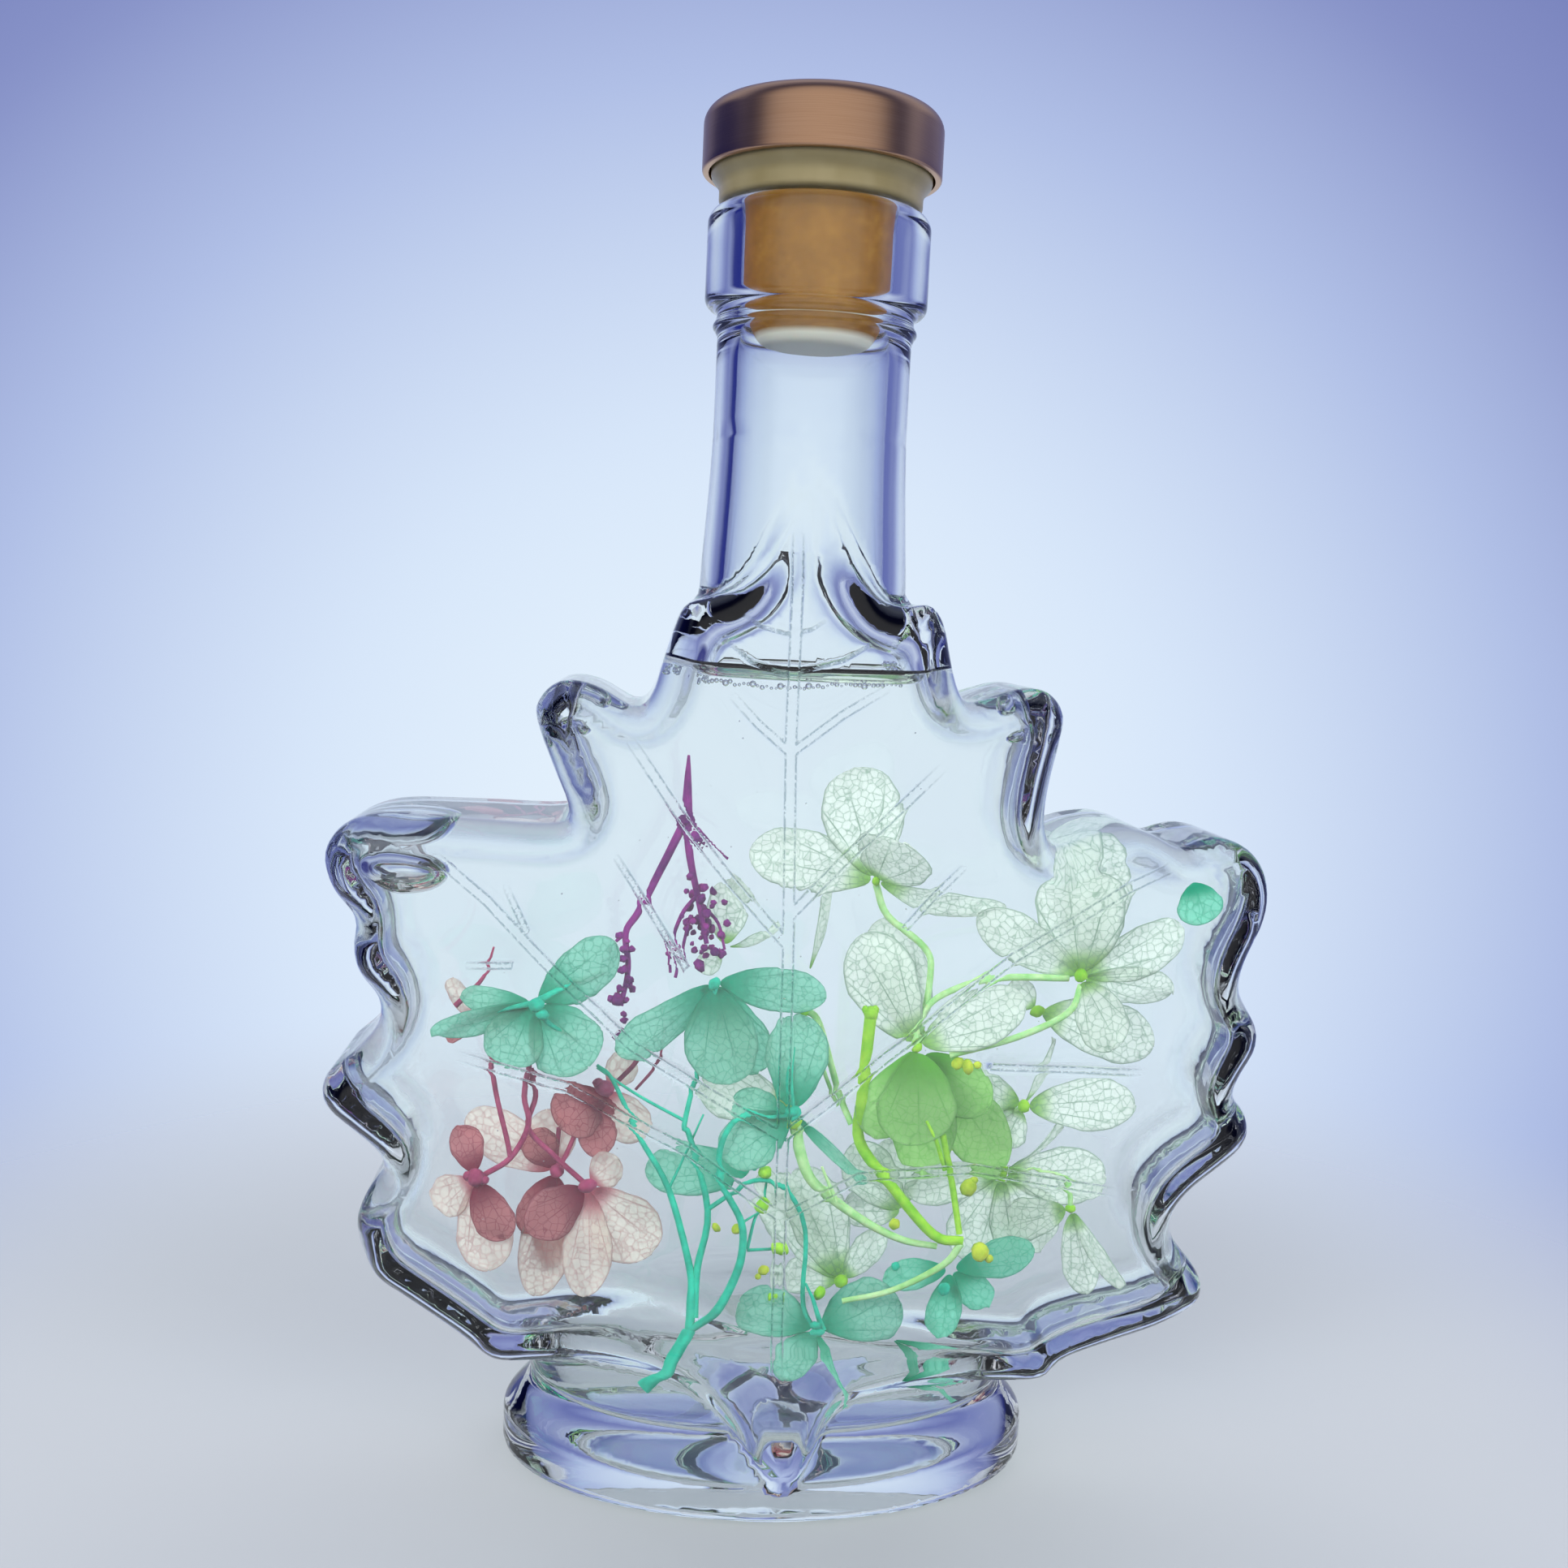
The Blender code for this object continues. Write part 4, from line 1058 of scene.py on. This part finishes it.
def build_flowers():
    """All that is sunk in the oil."""
    white = petal_skin("petal_white_green", "#f6faf4", "#8fb29b", "#b4dc8c", 0.68, 0.26)
    mint = petal_skin("petal_mint", "#bdeadb", "#4ab096", "#2cc8a8", 0.64, 0.60)
    lime = petal_skin("petal_lime", "#cbecb0", "#86c46a", "#84cf4e", 0.66, 0.62)
    pink = petal_skin("petal_dusty_pink", "#e0aaac", "#9c4c62", "#a83058", 0.72, 0.60)
    cream = petal_skin("petal_cream", "#f8f3ec", "#cfa6a6", "#d98a9a", 0.62, 0.30)
    teal = petal_skin("petal_teal", "#b4efdd", "#3fbb9b", "#14c49f", 0.66, 0.6)
    build_florets("florets_white_green", white, [
        ((1078, 1088, -3), [
            (1050, 948, 0, 108, 0), (925, 1050, -2, 84, 20), (1112, 1040, -11, 104, 0),
            (1234, 1124, 3, 48, 50),
        ]),
        ((1128, 1288, -6), [(1062, 1152, -4, 94, 10), (1258, 1228, -5, 78, -15), (1088, 1134, 2, 86, 20)]),
        ((1327, 1205, -2), [
            (1322, 1066, -2, 124, 0), (1352, 1034, 4, 96, 10), (1202, 1128, -3, 66, -15),
            (1450, 1145, -1, 70, 15),
            (1436, 1224, 1, 64, 30), (1366, 1294, -6, 70, 10),
        ]),
        ((1273, 1247, 3), [(1412, 1290, 4, 82, -10), (1240, 1212, 4, 48, 20)]),
        ((1257, 1362, 1), [
            (1391, 1360, 2, 74, -10), (1294, 1280, -2, 32, 50), (1225, 1408, 0, 66, 20),
            (1150, 1318, 3, 68, 10),
        ]),
        ((1230, 1442, 4), [
            (1354, 1446, 5, 84, 10), (1274, 1536, 6, 100, 0), (1186, 1548, 7, 84, 0), (1112, 1462, 5, 56, 10),
            (1302, 1384, 3, 20, 60), (1205, 1346, 7, 84, -20),
        ]),
        ((1313, 1486, 2), [(1377, 1580, 0, 46, 50), (1330, 1588, 4, 50, 10), (1228, 1502, 5, 60, 10)]),
        ((1035, 1574, 3), [
            (985, 1436, 4, 82, 0), (936, 1444, 6, 74, 10), (1086, 1514, 5, 54, 20), (956, 1564, 6, 50, 0),
        ]),
        ((1112, 1490, 5), [(1048, 1408, 6, 72, 0), (1038, 1482, 7, 60, 20), (1090, 1402, 7, 60, 0)]),
        ((975, 1368, 2), [(864, 1334, 3, 76, 10)]),
        ((895, 1172, 6), [(905, 1088, 6, 58, 0), (960, 1143, 5, 28, 60), (862, 1196, 6, 34, 20)]),
        ((996, 1202, 6), [(1020, 1100, 6, 30, 60)]),
    ], 11)
    build_florets("florets_lime", lime, [
        ((1128, 1290, -7), [(1118, 1410, -9, 104, 5), (1074, 1400, -7, 88, -15)]),
        ((1132, 1296, -3), [(1134, 1444, -3, 88, 5), (1214, 1366, -4, 72, -15), (1228, 1442, -1, 84, -10)]),
    ], 12)
    build_florets("florets_mint", mint, [
        ((881, 1211, -5), [
            (762, 1297, -7, 66, -25), (1017, 1230, -5, 62, 15), (901, 1335, -7, 96, 0),
            (936, 1320, -2, 84, 20),
        ]),
        ((661, 1236, -8), [
            (760, 1162, -7, 74, 10), (536, 1274, -7, 46, -35), (617, 1312, -9, 78, 10),
            (727, 1314, -8, 96, -5),
            (572, 1228, -5, 38, -10),
        ]),
        ((977, 1371, -7), [
            (986, 1250, -7, 82, 0), (890, 1424, -8, 76, 20), (1066, 1453, -8, 30, 50),
            (904, 1354, -5, 50, 10),
        ]),
        ((1005, 1640, -5), [
            (912, 1600, -6, 82, 10), (1108, 1602, -6, 96, -10), (966, 1724, -7, 54, 15),
        ]),
        ((931, 1438, 4), [(798, 1440, 4, 72, 0)]),
    ], 13)
    build_florets("florets_teal", teal, [
        ((1005, 1645, -6), [(1032, 1728, -8, 28, 65)]),
        ((1168, 1560, 1), [
            (1086, 1571, 0, 44, 15), (1268, 1533, 2, 54, -15), (1150, 1644, 3, 50, 10),
            (1212, 1604, 4, 48, 0),
        ]),
        ((1095, 1650, 3), [(1190, 1700, 0, 40, 40), (1160, 1735, -4, 34, 50)]),
        ((1463, 1082, -7), [(1476, 1140, -8, 62, 10)]),
    ], 14)
    build_florets("florets_dusty_pink", pink, [
        ((590, 1449, -5), [(569, 1386, -5, 46, 10), (628, 1524, -6, 54, 0)]),
        ((727, 1459, -2), [(651, 1512, -5, 72, -10)]),
        ((690, 1441, 0), [(648, 1514, 1, 48, 20), (684, 1556, 1, 58, 0), (655, 1394, 1, 50, 20)]),
        ((749, 1341, 1), [(692, 1386, 0, 74, 10), (738, 1424, 0, 52, 0)]),
        ((592, 1262, 2), [(557, 1280, 1, 30, 50)]),
    ], 15)
    build_florets("florets_cream", cream, [
        ((590, 1449, -4), [(542, 1484, -3, 58, 30), (606, 1562, -5, 74, 0)]),
        ((727, 1459, -1), [(806, 1540, -1, 98, 10), (765, 1426, 0, 62, 20), (722, 1594, -4, 66, 0)]),
        ((690, 1441, 2), [(583, 1372, 3, 68, 20), (678, 1366, 3, 66, 0), (664, 1592, 0, 68, 0)]),
        ((749, 1341, 2), [(780, 1300, 3, 48, 20), (792, 1402, 4, 60, 0)]),
        ((588, 1262, 2), [(563, 1207, 3, 30, 40)]),
    ], 16)

    teal_bark = stem_skin("stem_teal_dyed", "#25cba8", "#0fa386")
    lime_bark = stem_skin("stem_lime_dyed", "#a6dd3c", "#7cc21f")
    pale_bark = stem_skin("stem_pale_green", "#c2e6a8", "#93cf7c")
    plum_bark = stem_skin("stem_plum_dyed", "#8f2486", "#5a1562")
    rose_bark = stem_skin("stem_rose_dyed", "#b04a70", "#84264e")
    yellow_bud = stem_skin("bud_yellow_green", "#c8d838", "#94b41c")
    build_stems("stems_teal", teal_bark, [
        ([(800, 1712, -9), (812, 1700, -9), (836, 1672, -9), (850, 1640, -8)], (0.95, 0.85)),
        ([(850, 1640, -8), (852, 1600, -8), (851, 1560, -7), (825, 1463, -6), (790, 1400, -5),
          (757, 1330, -4), (738, 1312, -4)],
         (0.6, 0.2)),
        ([(856, 1620, -8), (860, 1560, -7), (873, 1490, -6), (851, 1399, -5), (846, 1376, -5),
          (881, 1243, -5)], (0.5, 0.28)),
        ([(738, 1315, -4), (790, 1350, -4), (845, 1380, -5)], (0.15, 0.22)),
        ([(826, 1462, -6), (846, 1420, -5), (868, 1372, -4)], (0.2, 0.12)),
        ([(850, 1640, -8), (883, 1612, -9), (902, 1580, -9), (914, 1545, -9), (914, 1505, -9),
          (893, 1463, -9),
          (886, 1431, -9), (894, 1397, -9), (915, 1374, -8), (945, 1376, -8), (972, 1374, -8)], (0.6, 0.25)),
        ([(873, 1488, -6), (903, 1468, -7), (930, 1453, -8), (958, 1457, -8), (979, 1478, -8),
          (991, 1510, -7),
          (992, 1545, -7), (989, 1578, -6), (990, 1606, -6), (1003, 1636, -6)], (0.3, 0.3)),
        ([(921, 1537, -8), (930, 1500, -7), (939, 1484, -7), (946, 1446, -7)], (0.22, 0.15)),
        ([(921, 1538, -8), (960, 1536, -7)], (0.22, 0.18)),
        ([(914, 1505, -8), (938, 1490, -7)], (0.18, 0.12)),
        ([(1014, 1640, -6), (1004, 1606, -7), (992, 1578, -7)], (0.4, 0.15)),
        ([(881, 1214, -5), (883, 1240, -5)], (0.5, 0.3)),
        ([(977, 1371, -8), (971, 1330, -8), (978, 1290, -8)], (0.45, 0.15)),
        ([(661, 1236, -9), (700, 1215, -8), (745, 1196, -7)], (0.5, 0.15)),
        ([(661, 1236, -9), (620, 1245, -8), (570, 1262, -7)], (0.4, 0.12)),
        ([(661, 1236, -9), (680, 1262, -9), (712, 1278, -8)], (0.5, 0.12)),
    ])
    build_stems("stems_lime", lime_bark, [
        ([(1072, 1250, -9), (1067, 1295, -9), (1061, 1352, -8), (1058, 1405, -6), (1096, 1458, -7),
          (1148, 1519, -8),
          (1184, 1527, -8)], (0.8, 0.6)),
        ([(1160, 1397, -9), (1170, 1450, -8), (1180, 1518, -8)], (0.4, 0.4)),
        ([(1140, 1380, -9), (1152, 1405, -9), (1162, 1440, -8)], (0.2, 0.3)),
    ])
    build_stems("stems_pale_green", pale_bark, [
        ([(1078, 1092, -3), (1092, 1130, -3), (1138, 1170, -3), (1144, 1205, -4),
          (1130, 1285, -5)], (0.45, 0.4)),
        ([(1327, 1215, -2), (1312, 1248, -4), (1250, 1278, -6), (1168, 1300, -6)], (0.45, 0.4)),
        ([(1312, 1206, -2), (1225, 1206, -3), (1168, 1222, -4), (1138, 1245, -5),
          (1124, 1288, -6)], (0.45, 0.4)),
        ([(979, 1382, -7), (986, 1420, -7), (999, 1452, -7), (1026, 1476, -7), (1052, 1495, -7),
          (1084, 1514, -7),
          (1116, 1527, -7), (1152, 1533, -7)], (0.75, 0.4)),
        ([(1012, 1436, -8), (1022, 1460, -8), (1030, 1478, -8)], (0.15, 0.3)),
        ([(1182, 1530, -8), (1160, 1556, -8), (1098, 1587, -8), (1037, 1600, -7)], (0.5, 0.35)),
        ([(1313, 1484, 1), (1311, 1460, 1), (1294, 1444, 1), (1244, 1441, 2)], (0.35, 0.3)),
        ([(1257, 1362, 1), (1215, 1380, 1), (1190, 1330, 0), (1150, 1300, -2)], (0.3, 0.3)),
        ([(990, 1245, -2), (1006, 1256, -2), (1020, 1300, -3), (1034, 1350, -4),
          (1048, 1384, -5)], (0.45, 0.4)),
        ([(1008, 1262, -3), (1012, 1310, -3), (1030, 1360, -4)], (0.25, 0.25)),
    ])
    build_stems("stems_plum", plum_bark, [
        ([(852, 935, 3), (850, 965, 3), (848, 1018, 3)], (0.15, 0.75)),
        ([(848, 1012, 3), (820, 1068, 3), (790, 1125, 2), (774, 1152, 2), (777, 1195, 2),
          (768, 1240, 1)], (0.55, 0.3)),
        ([(848, 1012, 3), (852, 1060, 3), (862, 1110, 3), (872, 1165, 2)], (0.55, 0.3)),
        ([(850, 1028, 3), (874, 1046, 3), (898, 1062, 3)], (0.35, 0.2)),
        ([(862, 1105, 3), (842, 1130, 3), (828, 1170, 2), (828, 1200, 2)], (0.3, 0.18)),
        ([(866, 1118, 3), (886, 1140, 2), (894, 1172, 2)], (0.25, 0.18)),
        ([(850, 1140, 2), (842, 1175, 2), (834, 1206, 2)], (0.2, 0.2)),
        ([(774, 1152, 2), (762, 1162, 2)], (0.25, 0.2)),
    ])
    build_stems("stems_rose", rose_bark, [
        ([(608, 1300, -4), (616, 1350, -4), (628, 1400, -4), (633, 1425, -4)], (0.32, 0.32)),
        ([(656, 1310, -3), (650, 1350, -3), (655, 1385, -3), (633, 1425, -4), (598, 1447, -5)], (0.35, 0.35)),
        ([(658, 1318, -2), (664, 1350, -2), (655, 1388, -2), (684, 1420, -2), (727, 1459, -2)], (0.32, 0.35)),
        ([(693, 1388, 1), (690, 1420, 1), (688, 1441, 0)], (0.32, 0.32)),
        ([(716, 1388, 1), (702, 1420, 1), (691, 1441, 0)], (0.3, 0.3)),
        ([(800, 1284, 3), (785, 1310, 2), (764, 1332, 1)], (0.3, 0.3)),
        ([(822, 1266, 4), (812, 1310, 4), (786, 1342, 3)], (0.22, 0.18)),
        ([(613, 1168, -3), (600, 1205, -3), (566, 1240, -3)], (0.12, 0.35)),
    ])
    rng = random.Random(21)
    build_buds("buds_plum", plum_bark, [
        (rng.gauss(866, 15), rng.gauss(1138, 24), rng.uniform(1, 5), rng.uniform(0.25, 0.6))
        for _ in range(48)
    ] + [
        (rng.gauss(772, 6), rng.gauss(1200, 26), rng.uniform(0, 3), rng.uniform(0.25, 0.55))
        for _ in range(20)
    ] + [
        (890, 1177, 2, 0.6), (863, 1191, 2, 0.7), (764, 1233, 1, 0.8), (756, 1232, 1, 0.45),
        (897, 1140, 2, 0.5),
    ], 22, 0.55)
    build_buds("buds_rose", rose_bark, [
        (590, 1449, -6, 1.0), (580, 1447, -6, 0.6), (600, 1452, -6, 0.7), (727, 1459, -3, 1.05),
        (690, 1441, -1, 0.9),
        (748, 1341, 0, 1.1), (740, 1334, 0, 0.6), (675, 1320, -2, 0.6), (598, 1270, -3, 0.5),
    ], 23)
    build_buds("buds_green", lime_bark, [
        (943, 1443, -8, 0.85), (939, 1484, -8, 0.9), (961, 1536, -8, 0.85), (1009, 1590, -6, 0.75),
        (952, 1595, -6, 0.6),
        (1072, 1249, -9, 1.0), (1077, 1244, -9, 0.5), (1066, 1245, -9, 0.5), (1327, 1203, -3, 0.95),
        (1078, 1088, -4, 0.5),
        (1257, 1362, 0, 0.75), (1128, 1290, -7, 0.8), (990, 1246, -2, 0.75), (1313, 1486, 1, 0.6),
        (1230, 1442, 3, 0.7),
        (1273, 1247, 2, 0.8), (1035, 1574, 2, 0.9), (979, 1382, -8, 0.8),
    ], 24)
    build_buds("buds_yellow", yellow_bud, [
        (1191, 1461, -7, 1.1), (1198, 1452, -7, 0.6), (1205, 1540, -7, 1.1), (1216, 1548, -7, 0.5),
        (1178, 1310, -6, 0.7),
        (1190, 1314, -6, 0.85), (1202, 1312, -6, 0.55), (1101, 1506, -7, 0.8), (883, 1510, -6, 0.6),
        (908, 1512, -6, 0.6),
        (941, 1562, -6, 0.6), (934, 1570, -6, 0.45), (1166, 1414, -3, 0.5),
    ], 26)
    build_buds("hearts_teal", teal_bark, [
        (881, 1213, -6, 0.75), (663, 1238, -10, 0.95), (670, 1250, -10, 0.8), (977, 1369, -9, 0.9),
        (980, 1376, -9, 0.8),
        (1004, 1632, -7, 0.85), (1006, 1646, -7, 0.9), (1160, 1584, 0, 0.9), (1101, 1556, 0, 0.6),
        (931, 1437, 3, 0.35),
    ], 25)


def build_floor():
    """Pale floor that thins out to nothing far from the bottle, so that no edge of it shows."""
    mat, tree = new_material("pale_floor")
    coords = add(tree, "ShaderNodeTexCoord")
    reach = add(tree, "ShaderNodeVectorMath", links={0: coords.outputs["Object"]}, operation="LENGTH")
    fade = add(
        tree, "ShaderNodeMapRange", {"From Min": 0.09, "From Max": 0.24, "To Min": 1.0, "To Max": 0.0},
        {"Value": reach.outputs["Value"]}, interpolation_type="SMOOTHSTEP",
    )
    top = add(tree, "ShaderNodeBsdfDiffuse", {"Color": colour("#a0a3a4")})
    gone = add(tree, "ShaderNodeBsdfTransparent")
    mix = add(tree, "ShaderNodeMixShader", links={0: fade, 1: gone, 2: top})
    add(tree, "ShaderNodeOutputMaterial", links={"Surface": mix})
    bm = bmesh.new()
    bmesh.ops.create_circle(bm, cap_ends=True, segments=96, radius=0.3)
    bmesh.ops.translate(bm, verts=bm.verts, vec=(0, 0, -0.0003))
    floor = placed("floor", mesh_from(bm, "floor"))
    floor.data.materials.append(mat)


def build_world():
    """Bright pale wall behind the bottle, lilac to its sides, curtains left and right, a window in front."""
    world = bpy.data.worlds.new("studio")
    bpy.context.scene.world = world
    world.use_nodes = True
    tree = world.node_tree
    tree.nodes.clear()
    coords = add(tree, "ShaderNodeTexCoord")
    toward = add(
        tree, "ShaderNodeVectorMath", {1: (0.06, 0.985, -0.16)}, {0: coords.outputs["Generated"]},
        operation="DOT_PRODUCT",
    )
    part = add(
        tree, "ShaderNodeMapRange", {"From Min": -1.0, "From Max": 1.0}, {"Value": toward.outputs["Value"]},
    )
    tone = add(tree, "ShaderNodeValToRGB", links={"Fac": part})
    ramp_stops(tone, [
        (0.0, "#dfe0e6"), (0.18, "#c6c9d6"), (0.27, "#3a4070"), (0.38, "#28306a"), (0.47, "#9aa6d2"),
        (0.62, "#c0cce8"),
        (0.88, "#6f79b6"), (0.912, "#8893c8"), (0.945, "#b0bfe6"), (0.982, "#d8e7fa"), (1.0, "#e5f2fd"),
    ])
    toned = tone.outputs["Color"]
    curtains = [((-0.93, 0.36, 0.06), 0.85, 0.93, "#222a7c"), ((0.93, 0.36, 0.06), 0.90, 0.97, "#6670b0")]
    for side, low, high, hue in curtains:
        aside = add(
            tree, "ShaderNodeVectorMath", {1: side}, {0: coords.outputs["Generated"]},
            operation="DOT_PRODUCT",
        )
        dark = add(
            tree, "ShaderNodeMapRange", {"From Min": low, "From Max": high},
            {"Value": aside.outputs["Value"]},
        )
        hung = add(
            tree, "ShaderNodeMix", {"B": colour(hue)}, {"Factor": dark, "A": toned}, data_type="RGBA",
        )
        toned = hung.outputs["Result"]
    light = add(tree, "ShaderNodeBackground", {"Strength": 1.0}, {"Color": toned})
    add(tree, "ShaderNodeOutputWorld", links={"Surface": light})


def add_light(name, place, aim, size, power, tint):
    """Soft lamp that is not itself seen in the glass."""
    data = bpy.data.lights.new(name, "AREA")
    data.shape = "RECTANGLE"
    data.size, data.size_y = size
    data.energy = power
    data.color = colour(tint)[:3]
    obj = placed(name, data)
    obj.location = place
    obj.rotation_euler = (Vector(aim) - Vector(place)).to_track_quat("-Z", "Y").to_euler()
    obj.visible_glossy = False
    obj.visible_transmission = False


def build_camera():
    """Camera where the photograph was taken from."""
    data = bpy.data.cameras.new("camera")
    data.sensor_fit = "HORIZONTAL"
    data.sensor_width = FILM_WIDTH
    data.lens = LENS_PX / IMAGE * FILM_WIDTH
    data.clip_start = 0.005
    cam = placed("camera", data)
    cam.matrix_world = Matrix.Translation(EYE * MM) @ Matrix((RIGHT, UP, -AHEAD)).transposed().to_4x4()
    bpy.context.scene.camera = cam


build_camera()
build_floor()
build_world()
add_light("near_left", (-0.4, -0.45, 0.4), (0, 0, 0.08), (0.4, 0.4), 5.0, "#ffffff")
add_light("near_right", (0.45, -0.35, 0.3), (0, 0, 0.08), (0.3, 0.4), 3.4, "#f9f9ff")
add_light("behind_left", (-0.35, 0.5, 0.35), (0, 0, 0.06), (0.5, 0.5), 3.5, "#fbfdff")
add_light("behind_right", (0.35, 0.5, 0.3), (0, 0, 0.06), (0.5, 0.5), 3.5, "#fbfdff")
bpy.context.scene.view_settings.view_transform = "Standard"

hollow_mesh = build_glass(moulded_glass())
build_oil(hollow_mesh, light_oil())
build_closure(plug_foam(), collar_plastic(), satin_metal())
build_flowers()
